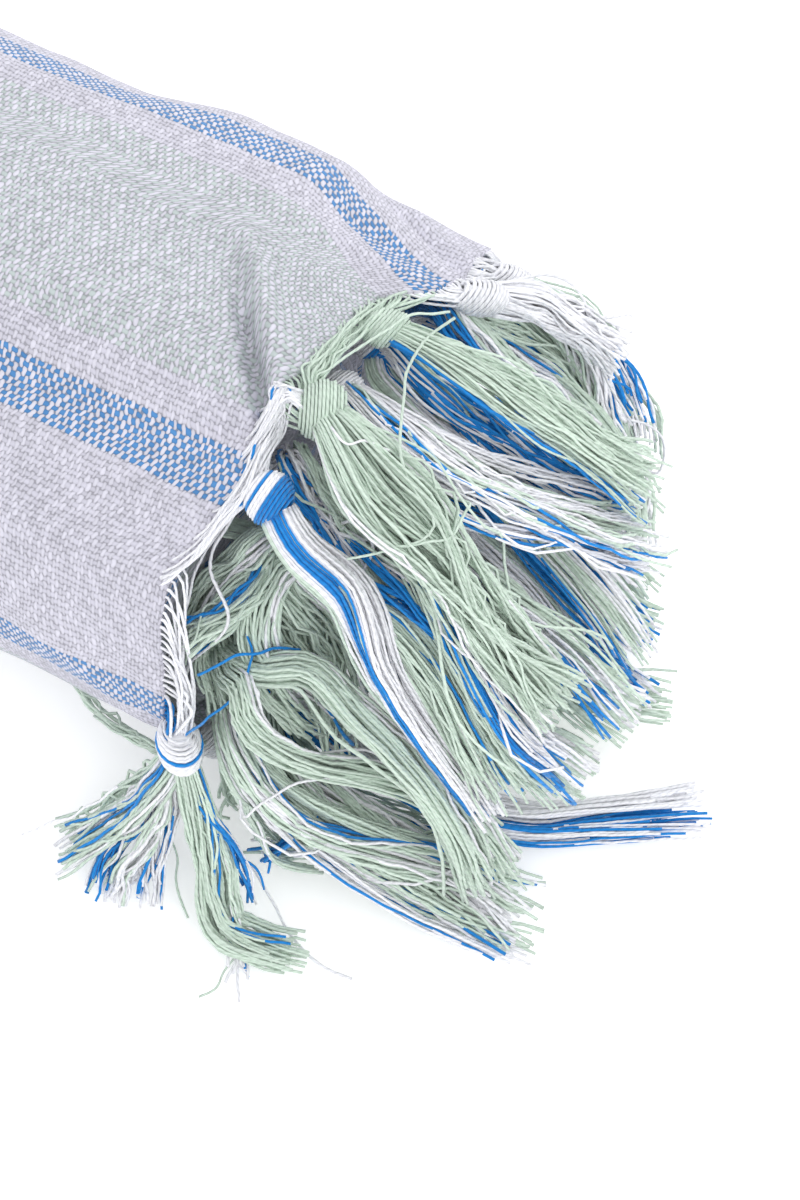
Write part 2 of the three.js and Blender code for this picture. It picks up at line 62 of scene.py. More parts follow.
# Creases, each straight from (x0, angle0) to (x1, angle1), with its width and height.
# A positive height is a soft ridge, a negative one a trough.
creases = [
    (-17, 103, 1, 74, 2.4, 4.0), (-14, 92, 0, 69, 1.6, -4.2), (-44, 105, -20, 95, 8, -1.4),
    (-38, 81, -12, 76, 7, 1.1), (-44, 146, -16, 142, 15, 3), (-8, 150, 12, 127, 3, -3),
    (0, 150, 14, 138, 9, -2.4), (-10, 50, 1, 56, 3.6, 1.4), (-12, 38, -4, 34, 5, -1.4),
    (-30, 12, -4, -8, 6, 1.2), (-76, 160, -24, 170, 8, -1.8), (-120, 96, -62, 112, 11, -1.6),
    (-150, 44, -96, 30, 10, -1.4), (-210, 118, -150, 82, 12, 1.8), (-262, 62, -196, 88, 11, -2.2),
    (-330, 128, -250, 140, 12, -2), (-350, 30, -290, 48, 12, 1.8), (-420, 84, -340, 98, 12, -2),
    (-452, 42, -400, 20, 8, -1.8), (-455, 136, -396, 150, 10, 1.8), (-200, 170, -120, 160, 11, 1.8),
    (-300, 172, -240, 186, 9, -1.6), (-240, -8, -160, -24, 10, -1.6), (-390, -20, -310, -2, 10, 1.4),
]

# Small gathers that the knots pull into the cloth beside them.
gathers = [
    (-26, 97, -2, 84, 1.9, 0.7), (-16, 81, 1, 77, 1.6, -0.8), (-9, 66, 1, 72, 1.5, 0.6),
    (-14, 60, 1, 64, 1.6, -0.5), (-17, 20, -3, 4, 2.2, 0.5), (-14, 2, -2, -10, 1.8, -0.6),
    (-16, -14, -2, -12, 1.8, 0.5), (-22, 118, 6, 112, 2.4, 0.7), (-12, 126, 10, 118, 2.2, -0.7),
    (-10, 154, 8, 140, 2.4, 0.6), (-14, 172, 4, 162, 2.2, -0.6), (-12, -40, -3, -37, 2, 0.6),
    (-60, 66, -34, 74, 4, -0.5), (-90, 120, -48, 128, 5, 0.6), (-70, 36, -28, 46, 5, -0.5),
]

# Warp stripes across the cloth: the angle each starts at, and its colour. They repeat.
stripes = {
    "start": -6, "perRepeat": 135,
    "bands": [(0, "blue"), (10, "white"), (56, "blue"), (66, "white"), (75, "sage"), (126, "white")],
}

# Yarns are coloured in the fringe and in the cloth, where each float is a width, length and rise
# in shares of its pitch. The gap is a painted shade: how dark the colour is made between the floats.
# A bump is its strength, and its depth in metres.
yarnColours = {"white": (242, 242, 246), "sage": (207, 223, 209), "blue": (28, 134, 212)}
warpColours = {"white": (204, 202, 214), "sage": (185, 195, 194), "blue": (84, 138, 194)}
weave = {
    "pickPitch": 0.71, "endPitch": 1.14, "weft": (212, 210, 221), "weftFloat": (0.46, 0.66, 1.0),
    "warpFloat": (0.37, 0.72, 0.92), "gap": 0.56, "bump": (0.5, 0.0003), "yarnBump": (0.5, 0.0002),
}


def linear(colour):
    shares = [value / 255 for value in colour]
    return tuple(v / 12.92 if v <= 0.04045 else ((v + 0.055) / 1.055) ** 2.4 for v in shares) + (1.0,)


def smoothStep(value, low, high):
    share = np.clip((np.asarray(value, float) - low) / (high - low), 0, 1)
    return share * share * (3 - 2 * share)


# The form of the roll

def edgePlace(angle):
    angles = np.array(edgeTable["angle"], float)
    places = np.array(edgeTable["x"], float)
    row = np.clip(np.searchsorted(angles, angle, side="right") - 1, 0, len(angles) - 2)
    share = smoothStep(angle, angles[row], angles[row + 1])
    return places[row] + (places[row + 1] - places[row]) * share


def creaseHeight(table, angle, x):
    height = np.zeros(np.broadcast(angle, x).shape)
    for x0, angle0, x1, angle1, width, rise in table:
        alongX, alongArc = x1 - x0, (angle1 - angle0) * perDegree
        fromX, fromArc = x - x0, (angle - angle0) * perDegree
        square = alongX * alongX + alongArc * alongArc
        share = (fromX * alongX + fromArc * alongArc) / square
        distance = (fromX * alongArc - fromArc * alongX) / math.sqrt(square)
        fade = smoothStep(share, -0.35, 0.35) * (1 - smoothStep(share, 0.9, 1.35))
        height += rise * fade * np.exp(-((distance / width) ** 2))
    return height


def softNoise(u, v, size, seed, cells=96, middle=40):
    # smooth random heights between -1 and 1, on a lattice of the given size
    lattice = np.random.default_rng(seed).uniform(-1, 1, (cells, cells))
    gridU, gridV = np.asarray(u) / size + middle, np.asarray(v) / size + middle
    cellU, cellV = np.floor(gridU).astype(int), np.floor(gridV).astype(int)
    shareU, shareV = smoothStep(gridU - cellU, 0, 1), smoothStep(gridV - cellV, 0, 1)
    near, far = cellU % cells, (cellU + 1) % cells
    low, high = cellV % cells, (cellV + 1) % cells
    first = lattice[near, low] * (1 - shareU) + lattice[far, low] * shareU
    second = lattice[near, high] * (1 - shareU) + lattice[far, high] * shareU
    return first * (1 - shareV) + second * shareV


def rollPoint(angle, x, inset, lift):
    angle, x, inset, lift = np.broadcast_arrays(angle, x, inset, lift)
    cosine, sine = np.cos(np.radians(angle)), np.sin(np.radians(angle))
    ellipse = np.hypot(roll["halfHeight"] * cosine, roll["halfWidth"] * sine)
    radius = roll["halfWidth"] * roll["halfHeight"] / ellipse - inset + lift
    height = np.maximum(roll["centreHeight"] + radius * sine, inset)
    return np.stack([roll["fringeEdge"] + x, -radius * cosine, height], axis=-1)


def tuckInset(angle):
    # the tucked selvedge lies one layer deeper, under the free one
    share = smoothStep(angle - (tuckedAngle + roll["overlap"]), 0, roll["tuckBlend"])
    return (1 - share) * roll["layerStep"]


def skinLift(angle, x):
    around = angle * perDegree
    lift = creaseHeight(creases, angle, x) + creaseHeight(gathers, angle, x)
    return lift + 0.35 * softNoise(x, around, 16, 3) + 0.16 * softNoise(x, around, 6, 4)


def stripeAngle(angle, x):
    # near the fringe the stripes at the back are pulled round towards the top
    return angle + 20 * smoothStep(x, -18, 12) * smoothStep(angle, 85, 110)


# Meshes from numpy arrays

def addMesh(name, points, faces, uv, materials, faceMaterial=None, tone=None):
    # points in millimetres; faces is a list of arrays, each of faces with the same corner count
    mesh = bpy.data.meshes.new(name)
    points = np.asarray(points, np.float32).reshape(-1, 3) * mm
    corners = np.concatenate([group.reshape(-1) for group in faces]).astype(np.int32)
    sizes = np.concatenate([np.full(len(group), group.shape[1]) for group in faces])
    starts = np.concatenate([[0], np.cumsum(sizes)[:-1]]).astype(np.int32)
    mesh.vertices.add(len(points))
    mesh.vertices.foreach_set("co", points.reshape(-1))
    mesh.loops.add(len(corners))
    mesh.loops.foreach_set("vertex_index", corners)
    mesh.polygons.add(len(sizes))
    mesh.polygons.foreach_set("loop_start", starts)
    mesh.polygons.foreach_set("use_smooth", np.ones(len(sizes), bool))
    if faceMaterial is not None:
        mesh.polygons.foreach_set("material_index", np.asarray(faceMaterial, np.int32))
    mesh.update(calc_edges=True)
    layer = mesh.uv_layers.new(name="flat")
    layer.data.foreach_set("uv", np.asarray(uv, np.float32).reshape(-1))
    if tone is not None:
        own = mesh.attributes.new("tone", "FLOAT", "POINT")
        own.data.foreach_set("value", np.asarray(tone, np.float32))
    for material in materials:
        mesh.materials.append(material)
    piece = bpy.data.objects.new(name, mesh)
    bpy.context.scene.collection.objects.link(piece)
    return piece


def gridFaces(rows, columns, first=0, closed=False):
    # quads of a grid whose points run row by row
    row = np.arange(rows - 1)[:, None]
    column = np.arange(columns if closed else columns - 1)[None, :]
    following = (column + 1) % columns
    here = first + row * columns
    ahead = here + columns
    quads = np.stack([here + column, here + following, ahead + following, ahead + column], axis=-1)
    return quads.reshape(-1, 4)


# Directions and curves

def unit(vectors):
    return vectors / np.maximum(np.linalg.norm(vectors, axis=-1, keepdims=True), 1e-9)


def crossWays(axis):
    # the level direction across an axis, and the one that rises from both
    side = unit(np.cross([0, 0, 1.0], axis))
    return side, np.cross(axis, side)


def interpRows(places, along, rows):
    return np.stack([np.interp(places, along, rows[:, axis]) for axis in range(3)], axis=-1)


def hermite(start, end, leave, arrive, t):
    # a smooth line between two points, with its directions at both, at the shares t
    line = (2 * t**3 - 3 * t**2 + 1) * start + (t**3 - 2 * t**2 + t) * leave
    return line + (-2 * t**3 + 3 * t**2) * end + (t**3 - t**2) * arrive


def bend(start, end, leave, arrive, steps):
    t = np.linspace(0, 1, steps)[None, :, None]
    return hermite(start[:, None], end[:, None], leave, arrive, t)


def atFringe(route):
    # routes in the tables are measured from the mean woven edge
    return np.array(route, float) + [roll["fringeEdge"], 0, 0]


def smoothRoute(points, count=160, perPart=60):
    # a smooth curve through the points, resampled to even steps, with its length
    knots = np.sqrt(np.linalg.norm(np.diff(points, axis=0), axis=1)).cumsum()
    knots = np.concatenate([[0], knots])
    slopes = np.gradient(points, knots, axis=0)
    share = np.linspace(0, 1, perPart, endpoint=False)[:, None]
    fine = []
    for index in range(len(points) - 1):
        width = knots[index + 1] - knots[index]
        ends = points[index], points[index + 1]
        fine.append(hermite(*ends, width * slopes[index], width * slopes[index + 1], share))
    fine = np.concatenate(fine + [points[-1:]])
    along = np.cumsum(np.linalg.norm(np.diff(fine, axis=0), axis=1))
    along = np.concatenate([[0], along])
    return interpRows(np.linspace(0, along[-1], count), along, fine), along[-1]


def curveAt(curve, shares):
    # points, sideways and upward directions at shares of the curve, straight on past its end
    tangent = unit(np.gradient(curve, axis=0))
    side, rise = crossWays(tangent)
    last = len(curve) - 1
    place, index = np.clip(shares, 0, 1) * last, np.arange(len(curve))
    beyond = np.maximum(shares - 1, 0) * last * np.linalg.norm(curve[-1] - curve[-2])
    points = interpRows(place, index, curve) + tangent[-1] * beyond[..., None]
    return points, unit(interpRows(place, index, side)), unit(interpRows(place, index, rise))


# The yarns: many tubes at once

colourIndex = {"white": 0, "sage": 1, "blue": 2}


def tubes(lines, radii, colour, tone, sides, count):
    # lines (yarns, steps, 3) and radii (yarns, steps) give points, walls, end caps, their uv,
    # their colours and the tone of each point; count is the number of points before these
    yarns, steps = lines.shape[:2]
    tangents = unit(np.gradient(lines, axis=1))
    normal = unit(np.cross(tangents[:, 0], [0.31, 0.17, 0.93]))
    turn = 2 * math.pi * np.arange(sides) / sides
    cosine, sine = np.cos(turn)[None, :, None], np.sin(turn)[None, :, None]
    rings = []
    for step in range(steps):
        tangent = tangents[:, step]
        normal = unit(normal - tangent * np.sum(normal * tangent, axis=1, keepdims=True))
        binormal = np.cross(tangent, normal)
        ring = normal[:, None, :] * cosine + binormal[:, None, :] * sine
        rings.append(lines[:, step][:, None, :] + ring * radii[:, step][:, None, None])
    perYarn, perWall = steps * sides, (steps - 1) * sides
    first = count + (np.arange(yarns) * perYarn)[:, None, None]
    walls = (gridFaces(steps, sides, closed=True) + first).reshape(-1, 4)
    caps = np.stack([np.arange(sides)[::-1], perWall + np.arange(sides)])
    caps = (caps + first).reshape(-1, sides)
    pieces = np.linalg.norm(np.diff(lines, axis=1), axis=2)
    length = np.concatenate([np.zeros((yarns, 1)), np.cumsum(pieces, axis=1)], axis=1)
    row, column = np.mgrid[:steps - 1, :sides].reshape(2, -1)
    u0, u1 = length[:, row] * mm, length[:, row + 1] * mm
    v0 = np.broadcast_to(column / sides, u0.shape)
    v1 = v0 + 1 / sides
    wallUv = np.stack([u0, v0, u0, v1, u1, v1, u1, v0], axis=-1).reshape(-1, 2)
    capUv = np.zeros((len(caps) * sides, 2))
    return (np.stack(rings, axis=1).reshape(-1, 3), walls, caps, wallUv, capUv,
            np.repeat(colour, perWall), np.repeat(colour, 2), np.repeat(tone, perYarn))


def yarnObject(name, groups, sides):
    # groups: (lines, radii, colour index of each yarn, tone of each yarn)
    made, count = [], 0
    for lines, radii, colour, tone in groups:
        made.append(tubes(lines, radii, colour, tone, sides, count))
        count += len(made[-1][0])
    points, walls, caps, wallUv, capUv, wallColour, capColour, tones = map(list, zip(*made))
    return addMesh(
        name, np.concatenate(points), [np.concatenate(walls), np.concatenate(caps)],
        np.concatenate(wallUv + capUv), yarnMaterials,
        np.concatenate(wallColour + capColour), np.concatenate(tones),
    )


def bandColours(bands, shares):
    # bands such as "sage 0.3 white": the colours across a tassel, and the share where each ends
    words = bands.split()
    colours = np.array([colourIndex[name] for name in words[::2]])
    return colours[np.searchsorted([float(share) for share in words[1::2]], shares)]


def radiiFor(points, radius, rng):
    count, steps = points.shape[:2]
    own = radius * rng.uniform(0.86, 1.12, count)
    lumps = 1 + 0.06 * rng.normal(0, 1, (count, steps))
    return own[:, None] * lumps


def scattered(count, rng):
    # places spread evenly over a disc, in steps of the golden angle
    order = np.arange(count)
    radius = np.sqrt((order + 0.5) / count)
    turn = order * 2.39996 + rng.uniform(0, 6.28)
    return radius * np.cos(turn), radius * np.sin(turn)


def keepAbove(points, floor, reach=3, softness=1.5):
    # a soft stop just above what the yarns lie on
    height = points[..., 2] - floor
    soft = reach * np.logaddexp(0, height / softness) / 2
    points[..., 2] = floor + np.where(height > reach, height, soft)
    return points


hanging = {
    "endShare": 0.45, "lockFrom": 0.12, "lockTo": 0.75, "bellyAt": 0.28, "bellyWidth": 0.18,
    "swingFrom": 2.4, "swingPower": 0.9, "swingUp": 0.7, "wildness": 3.5, "strayUp": 0.6,
    "lockWave": (0.8, 0.7, 1.9), "yarnWave": (0.4, 1.2, 3), "kink": 0.16, "kinkLength": (10, 6),
    "layers": (0.5, 2.2),
}


def strand(spec, rng):
    # the hanging yarns of one lock, as centre lines, and their colours
    count, order = spec["yarns"], np.arange(spec["yarns"])
    curve, length = smoothRoute(atFringe(spec["route"]))
    across, up = scattered(count, rng)
    ends = 1 + rng.uniform(-spec["ragged"], spec["ragged"] * hanging["endShare"], count)
    start = spec["start"] / length
    share = start + (ends[:, None] - start) * np.linspace(0, 1, spec["steps"])
    points, side, rise = curveAt(curve, share)

    # each yarn belongs to the nearest small lock, and these draw together on their way down
    lockAcross, lockUp = scattered(spec["clumps"], rng)
    fromLock = (across[:, None] - lockAcross) * spec["side"], (up[:, None] - lockUp) * spec["rise"]
    clump = np.argmin(fromLock[0] ** 2 + fromLock[1] ** 2, axis=1)
    tight = 1 - spec["lock"] * smoothStep(share, hanging["lockFrom"], hanging["lockTo"])
    nearAcross = lockAcross[clump, None] + (across - lockAcross[clump])[:, None] * tight
    nearUp = lockUp[clump, None] + (up - lockUp[clump])[:, None] * tight

    # the lock twists and opens out from its root
    twist = np.radians(spec["twist"]) * share
    turned = np.stack([nearAcross * np.cos(twist) - nearUp * np.sin(twist),
                       nearAcross * np.sin(twist) + nearUp * np.cos(twist)])
    sizes = np.array([spec["side"], spec["rise"]])[:, None, None]
    opened = spec["root"] + (sizes - spec["root"]) * np.clip(share, 0, 1.2) ** spec["opening"]
    belly = np.exp(-(((share - hanging["bellyAt"]) / hanging["bellyWidth"]) ** 2))
    offset = turned * opened * (1 + spec["belly"] * belly)

    # waves of the small locks, waves of each yarn and its kinks, and strays at the ends
    kinks = [length / size for size in hanging["kinkLength"]]
    swing = np.clip(share * hanging["swingFrom"], 0, 1) ** hanging["swingPower"]
    sideAndUp = np.array([1, hanging["swingUp"]])[:, None, None]
    for (amount, low, high), owners, owner in (
        (hanging["lockWave"], spec["clumps"], clump), (hanging["yarnWave"], count, order),
        ((hanging["kink"], *kinks), count, order),
    ):
        waves = rng.normal(0, 1, (owners, 2))
        if owner is order:
            waves[rng.uniform(0, 1, owners) < spec["wild"]] *= hanging["wildness"]
        speeds = rng.uniform(low, high, (owners, 2))
        phases = rng.uniform(0, 2 * math.pi, (owners, 2))
        size, speed, phase = (own[owner].T[..., None] for own in (waves, speeds, phases))
        sway = np.sin(2 * math.pi * speed * share + phase) - np.sin(phase)
        offset = offset + sideAndUp * (amount * spec["wave"] * swing) * size * sway
    stray = rng.normal(0, spec["stray"], (count, 2)).T * [[1], [hanging["strayUp"]]]
    offset = offset + stray[..., None] * np.clip(share, 0, 1.3) ** 3
    points = points + side * offset[0, ..., None] + rise * offset[1, ..., None]
    layer = hanging["layers"][0] + rng.uniform(0, hanging["layers"][1], count)
    shades = (across + 1) / 2 + rng.normal(0, spec["mix"], count)
    return keepAbove(points, layer[:, None]), bandColours(spec["bands"], shades)


def knotLines(centre, axis, spec, rng, steps=20, overlap=1.06):
    # the wraps of a knot: tilted turns side by side
    count, start, radius = spec["wraps"], spec["knotTurn"], spec["knotRadius"]
    side, rise = crossWays(axis)
    place = np.linspace(-1, 1, count)
    bulge = np.sqrt(1 - (place / 1.25) ** 2)[:, None]
    turn = np.linspace(0, 2 * math.pi * overlap, steps) + start + rng.uniform(-0.1, 0.1, (count, 1))
    lean = math.tan(math.radians(spec["knotTilt"])) * radius * 0.8
    radius = radius * bulge * (1 + rng.normal(0, 0.025, (count, 1)))
    along = place[:, None] * spec["knotHalf"] + lean * np.sin(turn - start + 0.6) * bulge
    points = centre + axis * along[..., None] + side * (radius * np.cos(turn))[..., None]
    return points + rise * (radius * np.sin(turn))[..., None], place


def knotCore(centre, axis, spec, inside=0.3):
    # one thick yarn that fills the knot
    places = np.linspace(-0.85, 0.85, 9)
    core = centre + axis * (places * spec["knotHalf"])[None, :, None]
    return core, (spec["knotRadius"] - inside) * np.sqrt(1 - places**2 / 1.4)[None, :]


def alongEdge(angles, beyond, lift):
    # points just past the woven edge, out from the roll by a lift
    edge = edgePlace(angles)
    return rollPoint(angles, edge + beyond, -lift, skinLift(angles, edge))


def looseLine(route, rng, steps=34, wander=0.25):
    # one stray yarn on its own route
    curve, _ = smoothRoute(atFringe(route), steps)
    share = np.linspace(0, 1, steps)[:, None]
    waves = np.sin(share * rng.uniform(9, 22, 3) + rng.uniform(0, 6.28, 3))
    return curve + wander * waves * np.sin(math.pi * share)


ropes = {
    "steps": 18, "slant": (3, 7), "slantShare": 0.9, "sway": 0.35,
    "hidden": (2.6, 0.7), "depth": 0.85,
}


def ropeLines(rope, centre, axis, spec, rng):
    # warp yarns that leave the cloth one by one and run along its edge as a rope to the knot
    low, high, end = rope["rope"]
    side, _ = crossWays(axis)
    fans = (np.arange(rope["yarns"]) / max(rope["yarns"] - 1, 1) - 0.5) * 1.2
    lines = []
    for fan, start in zip(fans, np.linspace(low, high, rope["yarns"])):
        lean = rng.normal(0, 1, 2) * rope["spread"]
        slant = rng.uniform(*rope.get("slant", ropes["slant"]))
        slant = min(slant, abs(end - start) * ropes["slantShare"])
        angles = np.linspace(start + np.sign(end - start) * slant, end, ropes["steps"])
        share = np.linspace(0, 1, ropes["steps"])
        sway = ropes["sway"] * np.sin(share * rng.uniform(5, 12) + rng.uniform(0, 6.28))
        lift = rope["lift"] + lean[1] + sway[::-1] * 0.6
        run = alongEdge(angles, rope["beyond"] + lean[0] + sway, lift)
        edge = edgePlace(start)
        hidden = rollPoint(start, edge - np.array(ropes["hidden"]), ropes["depth"], skinLift(start, edge))
        last = centre - axis * spec["knotHalf"] * 0.3 + side * fan * spec["knotRadius"]
        before = (run[-1] + last) / 2 + np.array([0, 0, 0.3])
        line = np.concatenate([hidden, run, [before, last]])
        for _ in range(2):
            line[1:-1] = line[1:-1] * 0.5 + (line[:-2] + line[2:]) * 0.25
        lines.append(line)
    return np.array(lines)


necks = {
    "steps": 9, "loose": 0.1, "sway": 0.25, "hidden": 2.5, "beyond": 0.4, "depth": 0.55,
    "depthSpread": 0.15, "stemLength": 2.4, "spread": 0.45, "fan": 0.62, "tuftSpread": 0.75,
}


def neckLines(neck, centre, axis, spec, rng):
    # warp yarns that come out of the cloth, or out of the layers inside, and meet in the knot
    count, steps = neck["yarns"], necks["steps"]
    share = np.linspace(0, 1, count)
    if "angles" in neck:
        angle = neck["angles"][0] + (neck["angles"][1] - neck["angles"][0]) * share
        edge = edgePlace(angle)
        spread = rng.uniform(-necks["depthSpread"], necks["depthSpread"], count)
        depth = tuckInset(angle) + necks["depth"] + spread
        back = edge - necks["hidden"]
        first = rollPoint(angle, back, depth, skinLift(angle, back))
        second = rollPoint(angle, edge + necks["beyond"], depth, skinLift(angle, edge))
    else:
        outward = unit(np.array([0, centre[1], centre[2] - roll["centreHeight"]]))
        first = centre + outward * ((share - 0.5) * neck["span"])[:, None]
        first[:, 0] = roll["fringeEdge"] + roll["coreFringeFace"]
        second = first + [necks["stemLength"], 0, 0]
    loose = neck.get("loose", necks["loose"])
    leave = np.array([1, 0, 0]) * neck["leave"] * rng.uniform(1 - loose, 1 + loose, (count, 1, 1))
    arrive = axis * neck["arrive"] * rng.uniform(1 - loose, 1 + loose, (count, 1, 1))
    disc = rng.normal(0, necks["spread"], (count, 2))
    side, rise = crossWays(axis)
    fan = np.empty(count)
    fan[np.argsort(first @ side)] = np.linspace(-1, 1, count)
    last = centre - axis * spec["knotHalf"] * 0.5
    last = last + side * (fan * spec["knotRadius"] * necks["fan"])[:, None]
    last = last + rise * disc[:, :1] + side * disc[:, 1:] * 0.4
    if "tuft" in neck:
        # the upper yarns first draw together to a tuft, and go on from it into the knot
        tuft = atFringe(neck["tuft"]) + rng.normal(0, necks["tuftSpread"], (count, 3))
        onward = (last - tuft)[:, None] * 0.7
        parts = bend(second, tuft, leave, onward, steps), bend(tuft, last, onward, onward, steps)
        straight = bend(second, last, leave, arrive, 2 * steps)
        upper = (angle > neck["tuftFrom"])[:, None, None]
        body = np.where(upper, np.concatenate(parts, axis=1), straight)
    else:
        body = bend(second, last, leave, arrive, steps)
    t = np.linspace(0, 1, body.shape[1])[None, :, None]
    sway = rng.normal(0, neck.get("sway", necks["sway"]), (count, 1, 3))
    body = body + sway * np.sin(math.pi * t)
    between = first[:, None] * 0.4 + second[:, None] * 0.6
    return np.concatenate([first[:, None], between, body], axis=1)


def tasselPiece(name, spec, seed):
    rng = np.random.default_rng(seed)
    groups = []

    def addYarns(lines, radius, colour):
        radii = radiiFor(lines, radius, rng)
        groups.append((lines, radii, colour, rng.uniform(0, 1, len(colour))))

    curve, _ = smoothRoute(atFringe(spec["route"]))
    axis = unit(unit(curve[1] - curve[0]) * 0.5 + np.array([0.5, 0, 0]))
    axis = unit(np.array(spec.get("knotAxis", axis), float))
    centre = atFringe(spec["route"][0])
    branchSteps = min(spec["steps"], spec["branchSteps"])
    for lock in [spec] + [dict(spec, steps=branchSteps, **own) for own in spec["branches"]]:
        lines, colour = strand(lock, rng)
        addYarns(lines, lock["radius"], colour)

    wraps, place = knotLines(centre, axis, spec, rng)
    wrapColour = bandColours(spec["knotBands"], (place + 1) / 2)
    addYarns(wraps, spec["radius"] * 1.12, wrapColour)
    middle = len(place) // 2
    groups.append((*knotCore(centre, axis, spec), wrapColour[middle:middle + 1], np.array([0.2])))

    for rope in spec["ropes"]:
        colour = bandColours(rope["bands"], np.linspace(0, 1, rope["yarns"]))
        addYarns(ropeLines(rope, centre, axis, spec, rng), spec["radius"], colour)
    for colour, route in spec["loose"]:
        addYarns(looseLine(route, rng)[None], spec["looseRadius"], np.array([colourIndex[colour]]))
    neck = spec["neck"]
    colour = bandColours(neck["bands"], np.linspace(0, 1, neck["yarns"]))
    addYarns(neckLines(neck, centre, axis, spec, rng), spec["radius"], colour)
    return yarnObject(name, groups, spec["sides"])


# Materials

def newNode(tree, kind, **settings):
    node = tree.nodes.new("ShaderNode" + kind)
    for label, value in settings.items():
        setattr(node, label, value)
    return node


def feed(tree, socket, value):
    # a number or a colour is set, and the output of a node is linked
    if isinstance(value, (int, float, tuple)):
        socket.default_value = value
    else:
        tree.links.new(value, socket)


def newGroup(name, inputs, outputs):
    # an input without a value is a vector, and all others are numbers
    group = bpy.data.node_groups.new(name, "ShaderNodeTree")
    for label, value in inputs.items():
        kind = "NodeSocketVector" if value is None else "NodeSocketFloat"
        socket = group.interface.new_socket(label, in_out="INPUT", socket_type=kind)
        if value is not None:
            socket.default_value = value
    for label in outputs:
        group.interface.new_socket(label, in_out="OUTPUT", socket_type="NodeSocketFloat")
    return group, group.nodes.new("NodeGroupInput").outputs, group.nodes.new("NodeGroupOutput").inputs


def calc(tree, operation, *values, clamp=False):
    node = newNode(tree, "Math", operation=operation, use_clamp=clamp)
    for index, value in enumerate(values):
        feed(tree, node.inputs[index], value)
    return node.outputs[0]


def blendColour(tree, factor, first, second, mode="MIX"):
    node = newNode(tree, "Mix", data_type="RGBA", blend_type=mode)
    for index, value in ((0, factor), (6, first), (7, second)):
        feed(tree, node.inputs[index], value)
    return node.outputs[2]


def noise(tree, vector, scale, detail):
    node = newNode(tree, "TexNoise")
    for label, value in (("Scale", scale), ("Detail", float(detail)), ("Vector", vector)):
        feed(tree, node.inputs[label], value)
    return node.outputs["Fac"]


def joined(tree, *values):
    node = newNode(tree, "CombineXYZ")
    for index, value in enumerate(values):
        feed(tree, node.inputs[index], value)
    return node.outputs[0]


def newMaterial(name, roughness, sheen, sheenTint):
    material = bpy.data.materials.new(name)
    material.use_nodes = True
    tree = material.node_tree
    tree.nodes.clear()
    shader, output = newNode(tree, "BsdfPrincipled"), newNode(tree, "OutputMaterial")
    tree.links.new(shader.outputs["BSDF"], output.inputs["Surface"])
    for label, value in (
        ("Roughness", roughness), ("Specular IOR Level", 0.25), ("Sheen Weight", sheen),
        ("Sheen Roughness", 0.5), ("Sheen Tint", sheenTint),
    ):
        shader.inputs[label].default_value = value
    return material, tree, shader


def onFlat(tree, group):
    # a node group that reads the flat coordinates of its piece
    flat = newNode(tree, "UVMap", uv_map="flat").outputs[0]
    node = newNode(tree, "Group", node_tree=group)
    tree.links.new(flat, node.inputs["Flat"])
    return node, flat


def surface(tree, shader, colour, shade, height, bump):
    # the colour dimmed by its shade, which holds its own tone and painted shade, and the relief
    dim = newNode(tree, "CombineColor")
    for index in range(3):
        tree.links.new(shade, dim.inputs[index])
    colour = blendColour(tree, 1.0, colour, dim.outputs[0], "MULTIPLY")
    tree.links.new(colour, shader.inputs["Base Color"])
    relief = newNode(tree, "Bump")
    for label, value in (("Strength", bump[0]), ("Distance", bump[1]), ("Height", height)):
        feed(tree, relief.inputs[label], value)
    tree.links.new(relief.outputs[0], shader.inputs["Normal"])


def nearestFloat(tree, along, across, parity, size):
    # height of the yarn float that a point lies on, in a plain weave, and a random value of its own
    do = partial(calc, tree)
    width, length, rise = size
    yarn = do("ROUND", across)
    fromMiddle = do("DIVIDE", do("SUBTRACT", across, yarn), width)
    shifted = do("ADD", along, do("ADD", yarn, parity))
    cell = do("MULTIPLY", do("ROUND", do("MULTIPLY", shifted, 0.5)), 2)
    fromCentre = do("DIVIDE", do("SUBTRACT", shifted, cell), length)
    random = newNode(tree, "TexWhiteNoise")
    tree.links.new(joined(tree, yarn, cell, parity + 0.5), random.inputs["Vector"])
    fullness = do("MULTIPLY_ADD", random.outputs["Value"], 0.5, 0.72)
    fallAcross = do("POWER", do("ABSOLUTE", fromMiddle), 2)
    fallAlong = do("POWER", do("ABSOLUTE", fromCentre), 3)
    left = do("MAXIMUM", do("SUBTRACT", fullness, do("ADD", fallAcross, fallAlong)), 0)
    return do("MULTIPLY", do("SQRT", left), rise), random.outputs["Value"], yarn


